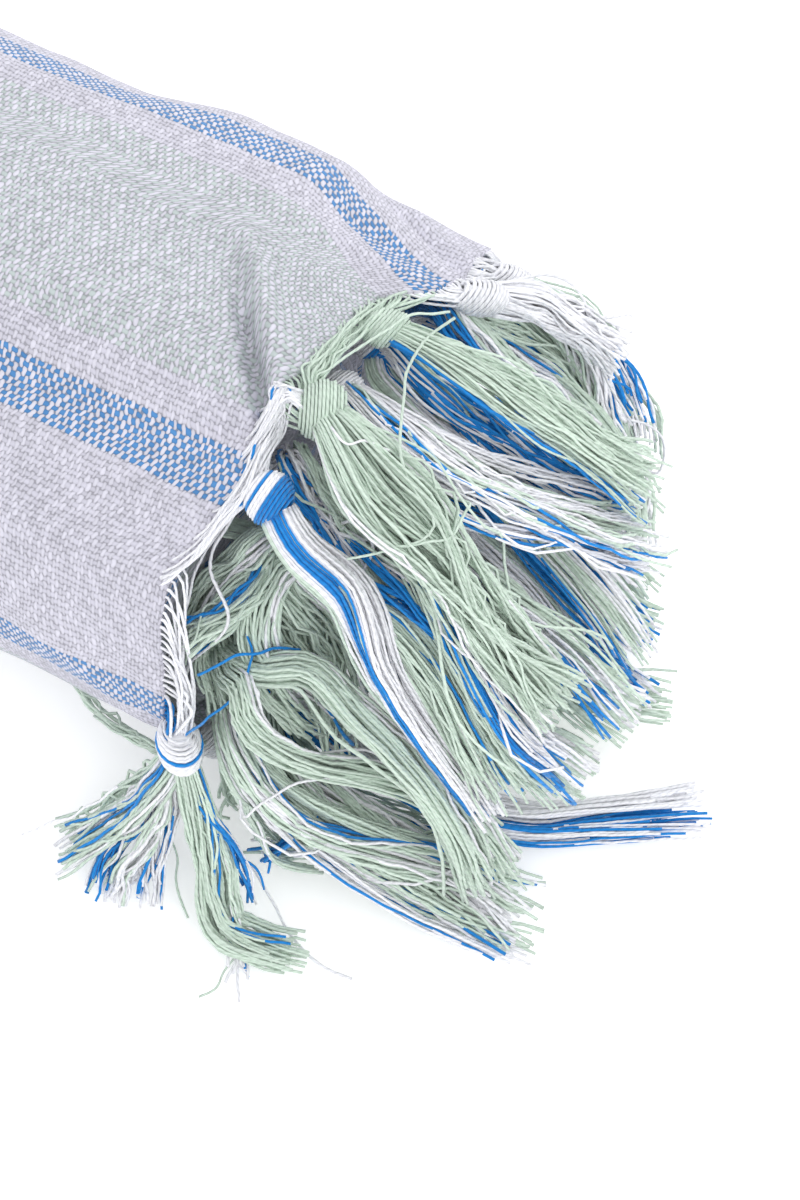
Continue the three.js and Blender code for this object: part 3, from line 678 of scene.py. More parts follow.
def weaveGroup():
    # plain weave on flat cloth coordinates: which yarn is on top, how high, and which warp end it is
    tree, given, out = newGroup(
        "plain weave",
        {"Flat": None, "Pick Pitch": weave["pickPitch"] * mm, "End Pitch": weave["endPitch"] * mm,
         "Unevenness": 1.0},
        ("Weft", "Height", "End Place", "Random"),
    )
    do = partial(calc, tree)
    split = newNode(tree, "SeparateXYZ")
    tree.links.new(given["Flat"], split.inputs[0])
    slow = do("SUBTRACT", noise(tree, given["Flat"], 150, 1), 0.5)
    quick = do("SUBTRACT", noise(tree, given["Flat"], 900, 1), 0.5)
    drift = do("ADD", do("MULTIPLY", slow, 2.2), do("MULTIPLY", quick, 0.9))
    drift = do("MULTIPLY", drift, given["Unevenness"])
    picks = do("ADD", do("DIVIDE", split.outputs[0], given["Pick Pitch"]), drift)
    ends = do("DIVIDE", split.outputs[1], given["End Pitch"])
    ends = do("ADD", ends, do("MULTIPLY", drift, -0.45))
    weft, weftRandom, _ = nearestFloat(tree, ends, picks, 0.0, weave["weftFloat"])
    warp, warpRandom, end = nearestFloat(tree, picks, ends, 1.0, weave["warpFloat"])
    over = do("MULTIPLY_ADD", do("SUBTRACT", weft, warp), 7, 0.5, clamp=True)
    under = do("MULTIPLY", warpRandom, do("SUBTRACT", 1.0, over))
    tree.links.new(over, out["Weft"])
    tree.links.new(do("MAXIMUM", weft, warp), out["Height"])
    tree.links.new(end, out["End Place"])
    tree.links.new(do("ADD", do("MULTIPLY", weftRandom, over), under), out["Random"])
    return tree


def stripeColour(tree, endPlace):
    # the colour of a warp end, from its place in the repeat of the stripes
    repeat = stripes["perRepeat"] * perDegree * mm
    shift = (-stripes["start"] + 3 * stripes["perRepeat"]) * perDegree * mm
    place = calc(tree, "ADD", calc(tree, "MULTIPLY", endPlace, weave["endPitch"] * mm), shift)
    share = calc(tree, "DIVIDE", calc(tree, "MODULO", place, repeat), repeat)
    ramp = newNode(tree, "ValToRGB")
    ramp.color_ramp.interpolation = "CONSTANT"
    tree.links.new(share, ramp.inputs[0])
    elements = ramp.color_ramp.elements
    while len(elements) < len(stripes["bands"]):
        elements.new(1.0)
    for index, (start, colour) in enumerate(stripes["bands"]):
        elements[index].position = start / stripes["perRepeat"]
        elements[index].color = linear(warpColours[colour])
    return ramp.outputs["Color"]


def clothMaterial(name, group, shade):
    material, tree, shader = newMaterial(name, 0.88, 0.15, linear((240, 242, 250)))
    do = partial(calc, tree)
    woven, flat = onFlat(tree, group)
    warp = stripeColour(tree, woven.outputs["End Place"])
    colour = blendColour(tree, woven.outputs["Weft"], warp, linear(weave["weft"]))

    # every float has a tone of its own, and the gaps between them get a painted shade, darker where the
    # floats lie low
    tone = do("MULTIPLY", woven.outputs["Random"], 0.14)
    tone = do("ADD", tone, do("MULTIPLY", noise(tree, flat, 55, 2), 0.12))
    # the shade dims the whole copy of the cloth: a painted shade, below 1 for the layers inside the roll
    tone = do("ADD", tone, 0.86 * shade)
    height = woven.outputs["Height"]
    gapShade = do("MULTIPLY_ADD", do("POWER", height, 0.5), 1 - weave["gap"], weave["gap"])
    surface(tree, shader, colour, do("MULTIPLY", tone, gapShade), height, weave["bump"])
    return material


def twistGroup():
    # the ply of a yarn: slanted grooves on its own uv, a painted shade in them, and how its tone drifts
    # along it
    tree, given, out = newGroup(
        "yarn twist", {"Flat": None, "Lay": 1.5 * mm, "Tone": 0.5}, ("Height", "Shade"),
    )
    do = partial(calc, tree)
    split = newNode(tree, "SeparateXYZ")
    tree.links.new(given["Flat"], split.inputs[0])
    turns = do("ADD", do("DIVIDE", split.outputs[0], given["Lay"]), split.outputs[1])
    groove = do("ABSOLUTE", do("SINE", do("MULTIPLY", turns, math.pi)))
    drift = noise(tree, joined(tree, split.outputs[0], given["Tone"]), 120, 1)
    shade = do("ADD", do("MULTIPLY", drift, 0.22), do("MULTIPLY", given["Tone"], 0.16))
    # painted shade: the colour is darker in the grooves of the ply
    shade = do("ADD", shade, do("MULTIPLY", groove, 0.12))
    tree.links.new(groove, out["Height"])
    tree.links.new(do("ADD", shade, 0.73), out["Shade"])
    return tree


def yarnMaterial(name, colour, group):
    material, tree, shader = newMaterial(name, 0.82, 0.25, linear((245, 248, 250)))
    twisted, _ = onFlat(tree, group)
    tone = newNode(tree, "Attribute", attribute_name="tone")
    tree.links.new(tone.outputs["Fac"], twisted.inputs["Tone"])
    outputs = twisted.outputs
    surface(tree, shader, linear(colour), outputs["Shade"], outputs["Height"], weave["yarnBump"])
    return material


woven = weaveGroup()
clothFinish = clothMaterial("woven cotton", woven, 1.0)
# the layers inside are the same cloth, made darker by a painted shade
shadedInsideFinish = clothMaterial("woven cotton inside, painted shade", woven, 0.9)
twisted = twistGroup()
yarnMaterials = [
    yarnMaterial(name + " cotton yarn", colour, twisted) for name, colour in yarnColours.items()
]
print("materials made")


# The outer layer of cloth

wrapRows = ((0, 30, 0.9), (30, 70, 1.6), (70, 200, 4.4), (200, 454, 8.0))
wrapRimRows = (4, 3.2, 2.2, 1.2, 0.5, 0)
wrapColumns = ((tuckedAngle, 62, 1.7), (62, 128, 0.62), (128, roll["freeSelvedge"], 1.7))


def wrapPiece():
    far, rimSize = roll["length"], roll["farRim"]
    backs = [np.arange(*stretch) for stretch in wrapRows]
    backs = np.concatenate(backs + [far - np.array(wrapRimRows)])
    angles = [
        np.linspace(low, high, round((high - low) / step), endpoint=False)
        for low, high, step in wrapColumns
    ]
    angles = np.concatenate(angles + [[roll["freeSelvedge"]]])
    back, angle = np.meshgrid(backs, angles, indexing="ij")
    x = edgePlace(angle) * (1 - back / far) - back
    rest = np.clip(rimSize - (far - back), 0, rimSize)
    inset = tuckInset(angle) + (rimSize - np.sqrt(rimSize**2 - rest**2 * 0.98))
    lift = skinLift(angle, x)
    fray = 0.25 * softNoise(angle * perDegree, angle * 0, 1.3, 9) * np.exp(-back / 1.5)
    outer = rollPoint(angle, x + fray, inset, lift)
    inner = rollPoint(angle, x + fray, inset + roll["thickness"], lift)

    rows, columns = back.shape
    gap = rows * columns
    top = np.arange(columns - 1)
    bottom = (rows - 1) * columns + top
    left = np.arange(rows - 1) * columns
    right = left + columns - 1
    faces = np.concatenate([
        gridFaces(rows, columns), gridFaces(rows, columns, first=gap)[:, ::-1],
        np.stack([top, top + gap, top + 1 + gap, top + 1], axis=1),
        np.stack([bottom, bottom + 1, bottom + 1 + gap, bottom + gap], axis=1),
        np.stack([left, left + columns, left + columns + gap, left + gap], axis=1),
        np.stack([right, right + gap, right + columns + gap, right + columns], axis=1),
    ])
    around = stripeAngle(angle, x).reshape(-1) * perDegree
    flat = np.stack([np.tile(-back.reshape(-1), 2), np.tile(around, 2)], axis=1)
    points = np.concatenate([outer.reshape(-1, 3), inner.reshape(-1, 3)])
    uv = flat[faces.reshape(-1)] * mm
    piece = addMesh("outer_wrap_cloth", points, [faces], uv, [clothFinish])
    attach(piece, "root")
    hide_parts("outer_wrap")
    return piece


# The hidden layers: turns of folded cloth, wound inside the outer layer

core = {
    "outerInset": 2.3, "innerInset": 40, "ringStep": 0.6, "columns": 150, "stations": 30,
    "fringePitch": 1.6, "fringeRise": 1.6, "farPitch": 3.2, "farRise": 2.6, "turnPitch": 6.4,
    "cupped": 2, "flatRadius": 45, "flatPerInset": 5, "flatFar": -470, "flatCentre": -500,
}


def endFace(angles, x, sign, pitch, rise):
    # rings of points that step down with each turn of the cloth
    outermost, innermost = core["outerInset"], core["innerInset"]
    angle, inset = np.meshgrid(angles, np.arange(outermost, innermost, core["ringStep"]))
    turn = (angle - angles[0]) / 360
    phase = (inset - outermost + turn * core["turnPitch"]) / pitch
    wobble = 0.35 * softNoise(angle * 0.4, inset, 5, 21)
    layer = np.abs(np.sin(math.pi * (phase + 0.12 * wobble))) ** 0.6
    ragged = softNoise(np.floor(phase) * 3.1, angle * 0.22, 4, 22)
    edge = smoothStep(inset, outermost, 4.5)
    place = x + sign * (rise * layer * (0.8 + 0.35 * ragged) - (1 - edge) * 1.6)
    middle = 1 - smoothStep(inset, innermost - 4, innermost)
    place = place * middle + (x - sign * core["cupped"]) * (1 - middle)
    lift = creaseHeight(creases, angle, place) * np.clip(1 - inset / 12, 0, 1)
    return rollPoint(angle, place, inset, lift), angle, inset


def corePiece():
    columns, outermost, innermost = core["columns"], core["outerInset"], core["innerInset"]
    nearFace, farFace = roll["coreFringeFace"], roll["coreFarFace"]
    low, high = roll["freeSelvedge"] - 360, roll["freeSelvedge"]
    angles = np.linspace(low, high, columns, endpoint=False)
    near, nearAngle, nearInset = endFace(angles, nearFace, 1, core["fringePitch"], core["fringeRise"])
    far, farAngle, farInset = endFace(angles, farFace, -1, core["farPitch"], core["farRise"])
    angle, station = np.meshgrid(angles, np.linspace(nearFace - 1, farFace + 1, core["stations"]))
    lift = np.minimum(creaseHeight(creases, angle, station), 0)
    side = rollPoint(angle, station, outermost + np.where(angle < -90, tuckInset(angle), 0), lift)
    middles = [
        [roll["fringeEdge"] + nearFace - core["cupped"], 0, roll["centreHeight"]],
        [roll["fringeEdge"] + farFace + core["cupped"], 0, roll["centreHeight"]],
    ]
    rings = [part.reshape(-1, 3) for part in (near[::-1], side, far)]
    points = np.concatenate(rings + [middles])

    rows = (len(points) - 2) // columns
    column, last = np.arange(columns), (rows - 1) * columns
    following = (column + 1) % columns
    nearCap = np.stack([np.full(columns, len(points) - 2), following, column], axis=1)
    farCap = np.stack([np.full(columns, len(points) - 1), last + column, last + following], axis=1)
    caps = np.concatenate([nearCap, farCap])
    faces = gridFaces(rows, columns, closed=True)

    def inOrder(nearPart, sidePart, farPart, centres):
        parts = nearPart[::-1], sidePart, farPart, np.array(centres)
        return np.concatenate([part.reshape(-1) for part in parts])

    inset = inOrder(nearInset, np.full(side.shape[:2], outermost), farInset, [innermost, innermost])
    around = inOrder(nearAngle, angle, farAngle, [0, 0])
    depth = inOrder(nearInset - innermost, station, core["flatFar"] - farInset, [0, core["flatCentre"]])
    across = np.radians(around) * roll["halfWidth"] + (core["flatRadius"] - inset) * core["flatPerInset"]
    flat = np.stack([depth, across], axis=1) * mm
    uv = np.concatenate([flat[faces.reshape(-1)], flat[caps.reshape(-1)]])
    piece = addMesh("rolled_layers", points, [faces, caps], uv, [shadedInsideFinish])
    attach(piece, "root")
    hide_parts("rolled_core")
    return piece


wrap = wrapPiece()
layers = corePiece()
print("cloth made")

# The fringe. Every tassel starts from these values and states what is its own.
# Routes run from the knot along the lock: x from the mean woven edge, y, and height.
# Bands name the colours across a lock, with the share where each ends.
plainTassel = {
    "yarns": 68, "radius": 0.29, "root": 1.9, "side": 6.4, "rise": 4.2, "opening": 1.0, "twist": 40,
    "wave": 0.9, "clumps": 6, "lock": 0.3, "stray": 0.8, "ragged": 0.16, "mix": 0.1, "belly": 0.0,
    "wild": 0.06, "start": 2.0, "steps": 16, "branchSteps": 22, "sides": 4, "looseRadius": 0.26,
    "wraps": 10, "knotRadius": 2.7, "knotHalf": 2.6, "knotTilt": 34, "knotTurn": 0.4,
    "branches": (), "ropes": (), "loose": (),
}
shown = {"steps": 28, "knotRadius": 3.2, "knotHalf": 2.9, "wraps": 11}


def lock(yarns, side, bands, route, **own):
    # one more lock that hangs from the same knot
    return dict(own, yarns=yarns, side=side, bands=bands, route=route)


def neckFrom(low, high, bands, **own):
    # warp that comes out of the cloth between two angles
    return dict({"yarns": 18, "leave": 4, "arrive": 5}, angles=(low, high), bands=bands, **own)


def stemOf(bands):
    # warp that comes out of the layers inside
    return {"span": 7.0, "yarns": 14, "leave": 3, "arrive": 4, "bands": bands}


tassels = {}
tassels["edge_tassel_01"] = dict(
    shown, route=[(1.2, -48, 33), (3.3, -49.5, 29), (5.6, -51.4, 24), (8.2, -53.8, 18.5),
    (10.8, -56.3, 13), (13.2, -59.5, 8.5), (15.8, -61.2, 5), (21.1, -60.8, 4), (27.1, -59.2, 3.4)],
    yarns=74, side=3.7, rise=2.8, opening=0.7, twist=20, wave=0.7, clumps=7, ragged=0.12, mix=0.04,
    bands="sage 0.8 blue 0.86 sage", knotRadius=3.5, knotHalf=3.4, wraps=13, knotTilt=34,
    knotBands="white 0.35 blue 0.42 white 0.95 blue", knotAxis=(0.2, -0.25, -0.95),
    neck=neckFrom(-20, 34, "white 0.26 blue 0.42 white", yarns=34, leave=6, arrive=5, sway=0.7,
    loose=0.6, tuft=(1.9, -46.2, 44.5), tuftFrom=4),
    branches=[
        lock(8, 1.4, "blue 0.85 white", [(4.6, -50.4, 27), (8, -51.6, 22.5), (11.8, -52.6, 18.5),
            (14.4, -53, 14), (16, -53.8, 10), (17.2, -55.4, 6)], rise=1, root=0.7),
        lock(60, 5.4, "sage 0.3 white 0.42 blue 0.54 sage 0.84 white", [(0.7, -47.9, 30),
            (-1.3, -51.4, 24), (-5.4, -54.6, 16), (-9.7, -57.9, 10), (-14, -60.8, 6)], rise=2.0,
            twist=0, wave=0.8, clumps=6, lock=0.55, ragged=0.14, mix=0.14),
        lock(48, 4.2, "blue 0.3 white 0.6 sage 0.75 white", [(0.7, -47.9, 30), (-0.7, -52, 21),
            (-3, -56.7, 12), (-5.1, -61.3, 6), (-4.8, -64.5, 4)], rise=1.8, twist=0, wave=0.8, clumps=5,
            lock=0.55, ragged=0.12, mix=0.14),
        lock(30, 2.6, "white 0.6 blue 0.8 white", [(1, -47.8, 30), (0.4, -51.4, 20), (0.2, -55.2, 11),
            (0.7, -59.2, 5), (1.8, -62.2, 4)], rise=1.6, twist=0, wave=0.8, clumps=4, lock=0.5,
            ragged=0.12, mix=0.14),
        lock(12, 1.9, "white 0.5 blue 0.7 white", [(15, -58.4, 8), (15.9, -59.2, 6), (17.7, -61.3, 4),
            (19.7, -63.7, 2.5), (21.2, -66, 1.8)], rise=0.8, root=1.4, wave=0.4, ragged=0.24),
    ],
    loose=[
        ("white", [(2.2, -26.2, 77), (0.4, -29, 71), (-0.9, -31, 66), (0.1, -33.5, 64),
            (2.2, -35.2, 62), (4.1, -36.6, 59), (4.3, -37.8, 56), (2.6, -39.5, 52), (-0.2, -41.2, 47),
            (-0.6, -42.9, 41)]),
        ("white", [(1.6, -27.2, 75), (-1, -30, 68), (-2.5, -32.1, 64), (-3.2, -33.9, 61),
            (-2.4, -36.1, 58), (-2.3, -37.7, 56), (-2, -39.9, 51), (-1.1, -41.6, 45),
            (-0.5, -43.6, 39)]),
        ("blue", [(2.8, -43.7, 50), (4, -42.9, 51), (6.1, -41.2, 53), (8.8, -38.8, 54),
            (11.3, -35.8, 53), (14.4, -32.4, 50)]),
        ("blue", [(2, -47.5, 36), (5.9, -47.2, 44), (6.4, -46.8, 45), (8.3, -44.8, 47),
            (9.3, -42.2, 49), (9.2, -39.3, 51), (9.1, -37.6, 53), (7, -35.8, 54)]),
        ("sage", [(2, -50, 20), (1.1, -52.6, 8), (2.8, -54.4, 5), (5.2, -58.1, 3), (8.6, -61, 2)]),
        ("white", [(12, -53, 14), (15.5, -50.9, 8), (18.8, -52.2, 3), (25, -55.9, 1.5), (32, -57.9, 1),
            (36.7, -57.5, 0.8)]),
        ("sage", [(15, -60, 7), (18.4, -61.3, 4), (18.3, -65.6, 1.5), (18.3, -69.5, 1),
            (16.7, -71.8, 0.8)]),
        ("white", [(15, -61, 6), (18.7, -63.1, 4), (20.5, -65.8, 1.5), (22.8, -69.6, 0.8)]),
        ("white", [(-8, -53, 19), (-13.2, -56.9, 12), (-16.6, -58.8, 9), (-21.2, -62.4, 6)]),
    ],
)
tassels["edge_tassel_02"] = dict(
    shown, route=[(6, -25.5, 78.3), (13, -29, 74), (21, -29, 67), (29, -31.5, 53), (37, -32, 40),
    (46.5, -31, 25)], yarns=130, side=3.8, rise=3, root=2.6, opening=0.5, twist=95, wave=0.6, stray=0.3,
    ragged=0.06, mix=0.04, lock=0.15, wild=0.03, belly=0.25,
    bands="sage 0.08 white 0.2 blue 0.46 sage 0.5 blue 0.56 white", start=2.6,
    knotAxis=(0.95, -0.08, -0.3), knotRadius=4.0, knotHalf=2.9, wraps=12, knotTilt=-6,
    knotBands="white 0.12 blue 0.2 white 0.5 blue",
    neck=neckFrom(50, 68, "blue 0.12 white 0.2 blue 0.28 white", yarns=22, leave=3, arrive=6),
)
tassels["edge_tassel_03"] = dict(
    shown, route=[(7.2, -11.1, 83.5), (10.6, -13, 85), (15.6, -15.9, 85), (21.9, -18.3, 82),
    (28.6, -18.8, 76.5), (35.2, -19, 68), (42.8, -19, 56), (51.2, -18.9, 44)], yarns=160, radius=0.27,
    side=6.8, rise=3.4, root=1.5, opening=0.42, twist=8, wave=1.35, clumps=11, lock=0.5, stray=1.0,
    belly=0.7, start=3, ragged=0.1, mix=0.02, wild=0.04,
    bands="white 0.03 sage 0.8 white 0.82 sage 0.95 white", knotAxis=(0.88, 0.47, 0), knotRadius=4.6,
    knotHalf=3.3, wraps=13, knotTilt=6, knotBands="sage", neck=neckFrom(70, 86, "sage", yarns=18,
    leave=3, arrive=5, sway=0.3),
    ropes=[
        dict(rope=(86, 110, 80), yarns=34, beyond=1.3, lift=0.9, spread=0.8, bands="sage"),
        dict(rope=(27, 70, 75), yarns=62, beyond=1.0, lift=0.5, spread=0.6, slant=(5, 24),
            bands="white 0.5 blue 0.54 white 0.92 blue 0.97 white"),
    ],
    loose=[
        ("sage", [(18.2, 10.4, 88), (16.1, 4.7, 88), (16.5, -1.7, 88), (18, -5.1, 88.5),
            (19.7, -9.8, 88.5), (21.8, -13.6, 88.5), (24.4, -16.3, 87), (28, -18.7, 85),
            (30.9, -20.3, 83), (30.5, -22.4, 81), (26.3, -25.3, 79), (20.9, -28.6, 77)]),
        ("white", [(10, -14, 86), (12.4, -16.5, 89), (14.5, -17.3, 89), (17.8, -15, 88),
            (21.1, -14, 86)]),
        ("sage", [(31, -12, 78), (33.4, -13.3, 80), (33.7, -17.4, 81), (33, -19.8, 80),
            (30.3, -22.8, 80), (24.9, -25.7, 80)]),
    ],
)
tassels["edge_tassel_04"] = dict(
    shown, route=[(8.6, 6, 84.2), (18, 5, 86), (31, 7, 80), (41, 9, 72), (50, 13.5, 61)],
    loose=[
        ("sage", [(16.4, 12.2, 86), (12, 6.7, 88.5), (9.1, 1, 88), (6.9, -2.7, 87), (4.7, -7.2, 86)]),
    ],
    yarns=96, radius=0.27, side=5.6, rise=2.8, opening=0.8, bands="blue 0.1 sage", wave=0.9, clumps=8,
    lock=0.3, ragged=0.1, mix=0.03, knotBands="sage", neck=neckFrom(92, 112, "sage"),
)
tassels["edge_tassel_05"] = dict(
    shown, route=[(17, 21, 78.6), (24, 26, 75), (29, 28.5, 71), (35, 31.5, 63)], yarns=120, side=4.4,
    rise=3.2, bands="white 0.96 sage", wave=0.8, ragged=0.16, mix=0.05, opening=0.6, root=2.4,
    knotRadius=2.9, knotHalf=3.2, knotBands="white", neck=neckFrom(108, 126, "white"),
)
tassels["edge_tassel_06"] = dict(
    shown, route=[(16, 33, 67), (26, 33.5, 59), (33, 32, 52), (38.5, 28.5, 46.5)],
    loose=[
        ("white", [(34, 31, 57), (39.4, 27, 56), (41.7, 25.4, 56), (43.7, 26.4, 55), (46.4, 27.4, 52),
            (48, 25.7, 48), (47.6, 24.3, 46), (44.5, 24.3, 46)]),
    ],
    yarns=90, side=3.8, rise=3.2, bands="sage 0.25 white 0.86 blue", ragged=0.16, wave=0.9, mix=0.25,
    knotRadius=2.5, knotBands="white", neck=neckFrom(128, 147, "white"),
)
tassels["edge_tassel_07"] = dict(
    route=[(12.4, 42, 53), (22, 43, 48), (32, 40, 40), (39, 34, 31)], side=4.6, ragged=0.1,
    knotRadius=2.2, bands="white 0.7 sage", knotBands="white", neck=neckFrom(151, 169, "white"),
    rise=3.4,
)
tassels["edge_tassel_08"] = dict(
    route=[(8, 45.6, 36), (20, 44.5, 29), (31, 40, 19), (40, 34, 11)], side=4.6, ragged=0.1,
    bands="blue 0.4 white 0.6 sage", knotBands="blue 0.5 white",
    neck=neckFrom(177, 196, "white 0.4 blue 0.7 white"), rise=3.4,
)
tassels["edge_tassel_09"] = dict(
    route=[(2.6, 36.4, 14), (20, 38, 9), (39, 33, 4.8)], side=4.6, ragged=0.1, bands="blue 0.2 white",
    knotBands="white", neck=neckFrom(-150, -133, "white"), rise=1.8,
)
tassels["edge_tassel_10"] = dict(
    route=[(1.6, 19.5, 5.4), (26, 21, 5), (50, 21, 4.4)], side=4.6, ragged=0.1,
    bands="white 0.35 blue 0.6 sage", knotBands="white 0.5 blue", neck=neckFrom(-124, -107, "white"),
    rise=1.6,
)
tassels["edge_tassel_11"] = dict(
    route=[(1, -1, 5.4), (28, -2, 5.2), (58, 9, 4.8)], side=4.6, ragged=0.1, bands="sage",
    knotBands="sage", neck=neckFrom(-99, -81, "sage"), rise=1.6,
)
tassels["edge_tassel_12"] = dict(
    shown, route=[(0.8, -20, 5.6), (20, -25, 8), (37, -27.5, 11), (49, -23, 7), (59, -15.5, 4.6),
    (72, -7, 4.4)], yarns=76, side=5.2, rise=2, wave=0.5, twist=20, bands="white 0.24 blue 0.5 white",
    ragged=0.1, mix=0.1, knotBands="blue 0.5 white", neck=neckFrom(-74, -57, "white"),
    branches=[
        lock(64, 7, "sage 0.7 blue 0.8 sage", [(0.8, -20, 5.6), (8, -28, 5), (17, -32, 4), (30, -33, 4),
            (44, -33, 4)], rise=1.8, wave=1),
    ],
)
tassels["edge_tassel_13"] = dict(
    shown, route=[(0.8, -37, 16.4), (18.4, -38.2, 15), (25.8, -37, 10.5), (35.3, -36, 8),
    (44.8, -37, 6), (53, -39, 4)],
    loose=[
        ("white", [(44, -39, 11), (49.7, -38.6, 8), (53.9, -39.6, 3), (57.9, -42, 1)]),
    ],
    yarns=90, side=4.6, rise=2.4, twist=30, bands="sage 0.3 white 0.8 sage", ragged=0.2, mix=0.12,
    knotBands="white", neck=neckFrom(-45, -29, "white"),
    branches=[
        lock(64, 4.6, "sage 0.55 white 0.8 sage", [(0.8, -37, 16.4), (8, -36, 11), (16, -36, 8),
            (30, -36.5, 6), (43, -36.5, 4.4)], rise=1.8, wave=1, wild=0),
        lock(9, 1.1, "sage", [(0.8, -37, 16.4), (-3.6, -45.4, 22), (-9.1, -44.1, 19),
            (-15.5, -42.3, 16), (-20.9, -40.3, 14), (-23.8, -38.5, 14)], rise=0.9, root=0.9, wave=0.5),
    ],
)
tassels["inner_tassel_01"] = dict(
    shown, route=[(5, -2, 75.6), (16, -7, 79), (26, -8, 76), (38, -4.5, 69), (47, 1.5, 61),
    (53, 7, 55)], yarns=150, radius=0.27, root=2.6, side=7.4, rise=3.2, opening=1.1, twist=60, wave=1.1,
    clumps=8, lock=0.3, ragged=0.14, mix=0.05, belly=0.3,
    bands="white 0.3 blue 0.35 white 0.6 blue 0.64 sage 0.8 white", knotBands="white",
    neck=stemOf("white"),
)
tassels["inner_tassel_02"] = dict(
    shown, route=[(5, 10, 72.4), (16, 7.6, 73), (28, 7.4, 69), (38, 9, 63), (46, 14, 54)], yarns=80,
    side=4.2, rise=2.6, bands="white 0.2 blue 0.5 white 0.7 sage 0.8 blue", wave=0.8, mix=0.1,
    knotBands="white 0.5 blue", neck=stemOf("white"),
    branches=[
        lock(60, 3.4, "white 0.3 blue 0.6 sage", [(5, 10, 72.4), (8.8, 8.8, 75), (14.5, 6.3, 75),
            (20.2, 5.4, 72), (25.6, 5, 68), (31.9, 6.5, 62), (37.9, 8.8, 56)]),
        lock(64, 4, "sage 0.5 white 0.7 blue 0.8 sage", [(5, 10, 72), (8, 6, 71), (12.4, 4, 71),
            (19.7, 2.4, 68), (25.4, 3, 64), (32.4, 5, 58), (37.6, 7, 53)]),
    ],
)
tassels["inner_tassel_03"] = dict(
    shown, route=[(3, 24, 62), (20, 25, 58.5), (34, 25.5, 50), (42, 23.5, 40), (46, 19.5, 30)],
    yarns=90, side=4.4, rise=3.4, ragged=0.1, bands="blue 0.3 white 0.6 sage", knotBands="white",
    neck=stemOf("white"),
    branches=[
        lock(60, 3.6, "blue 0.35 white 0.6 sage", [(3, 24, 62), (10, 20, 74), (16, 17, 75),
            (22, 17, 71), (30, 18, 64), (38, 18, 57)], rise=2.6),
        lock(60, 4.4, "white 0.4 blue 0.55 sage", [(3, 24, 63), (9.2, 23, 67), (15.4, 24.2, 65),
            (21.1, 26.5, 61), (26.9, 29, 55), (33.1, 30.5, 48)], rise=2.6),
    ],
)
tassels["inner_tassel_04"] = dict(
    route=[(1, 33, 42), (16, 34, 38), (30, 31, 30), (42, 27, 23)], side=4.6, ragged=0.1,
    bands="white 0.8 blue", knotBands="white", neck=stemOf("white"), rise=3.4,
)
tassels["inner_tassel_05"] = dict(
    route=[(0.4, 27, 23), (16, 29, 20), (34, 27, 14), (47, 23, 10)], side=4.6, ragged=0.1, bands="sage",
    knotBands="sage", neck=stemOf("sage"),
)
tassels["inner_tassel_06"] = dict(
    route=[(0.4, 8, 15.5), (20, 9, 14.5), (40, 7, 13), (56, 4, 10)], side=4.6, ragged=0.1,
    bands="white 0.8 blue", knotBands="white", neck=stemOf("white"),
)
tassels["inner_tassel_07"] = dict(
    route=[(0.4, -13, 16.6), (20, -13, 17), (38, -12, 15), (54, -11, 10.5)], side=4.6, ragged=0.1,
    bands="sage 0.75 white", knotBands="sage", neck=stemOf("sage"),
)
tassels["inner_tassel_08"] = dict(
    shown, route=[(0.4, -29, 27), (5, -38, 33), (9.4, -43.3, 34), (14.7, -46, 30), (21.6, -46.4, 25),
    (28.9, -43.5, 19), (37.2, -39, 14), (45.8, -34.8, 9), (54.1, -32.5, 5)], yarns=56, side=4.4,
    rise=2.6, wave=1.0, bands="sage 0.3 white 0.5 blue 0.58 sage", mix=0.14, ragged=0.14,
    knotBands="sage", neck=stemOf("sage"),
    branches=[
        lock(46, 4.4, "white 0.36 blue 0.44 sage", [(0.4, -30, 26), (6, -40, 31), (11.3, -43.8, 30),
            (19, -45, 22), (29.5, -44.8, 14), (41.5, -43.5, 7), (49.9, -42.3, 4), (57.1, -41.5, 3)],
            wild=0),
        lock(22, 2.4, "sage 0.7 white", [(0.4, -31, 26), (6, -40, 28), (11.7, -43.2, 26),
            (21.5, -46.5, 20), (27.2, -42.1, 16), (20.6, -45.3, 10), (14.7, -47.3, 8)], rise=1.6),
        lock(8, 1.2, "blue", [(24.2, -41.4, 24), (20.9, -45.5, 16), (17.4, -47.6, 11),
            (15.8, -49.2, 8)], rise=1, root=0.8),
        lock(56, 6, "sage 0.8 blue 0.86 sage", [(0.4, -29, 27), (2, -33, 24), (4, -36, 16),
            (9, -38, 7)], rise=2.4, wave=1.2),
        lock(44, 4, "sage 0.6 white", [(0.4, -30, 26), (5, -38, 30), (9, -44, 30), (11.5, -46.4, 27),
            (13, -46.4, 22), (15, -45.6, 16), (18.5, -44.6, 11), (25, -43, 8)], rise=2),
        lock(60, 4.6, "sage 0.45 white 0.7 sage", [(8, -40, 32), (12, -40.5, 28), (16.5, -38.8, 24),
            (22.4, -37.8, 19), (28.9, -37, 15), (35.5, -36.8, 12), (42, -37, 9)], rise=1.8, wave=1.1,
            clumps=8),
        lock(22, 3.4, "white 0.8 sage", [(8, -42, 30), (12, -43, 26), (17.1, -41.8, 20),
            (22, -42.5, 15), (28.3, -42.6, 12), (34.8, -40.6, 11), (39.6, -36, 11), (42.7, -31.5, 11)],
            rise=2, wave=1.3),
        lock(14, 2.2, "white 0.8 sage", [(8, -41, 28), (13.6, -42, 20), (18, -42, 12), (23.6, -41.5, 9),
            (30.2, -40.5, 8), (36.5, -38.5, 8)], rise=1.2, wave=0.8),
    ],
    loose=[
        ("white", [(9, -40, 34), (12.5, -41.9, 36), (15.6, -43.3, 36), (19.1, -41.6, 35),
            (24, -37.6, 34), (28.4, -35.4, 34), (31.8, -35.2, 33), (35.7, -35.7, 31)]),
        ("white", [(10, -46, 26), (14.2, -50.9, 26), (15.4, -50.2, 28), (18.7, -47.6, 32),
            (21.3, -45.4, 34), (25.2, -42.9, 35)]),
    ],
)
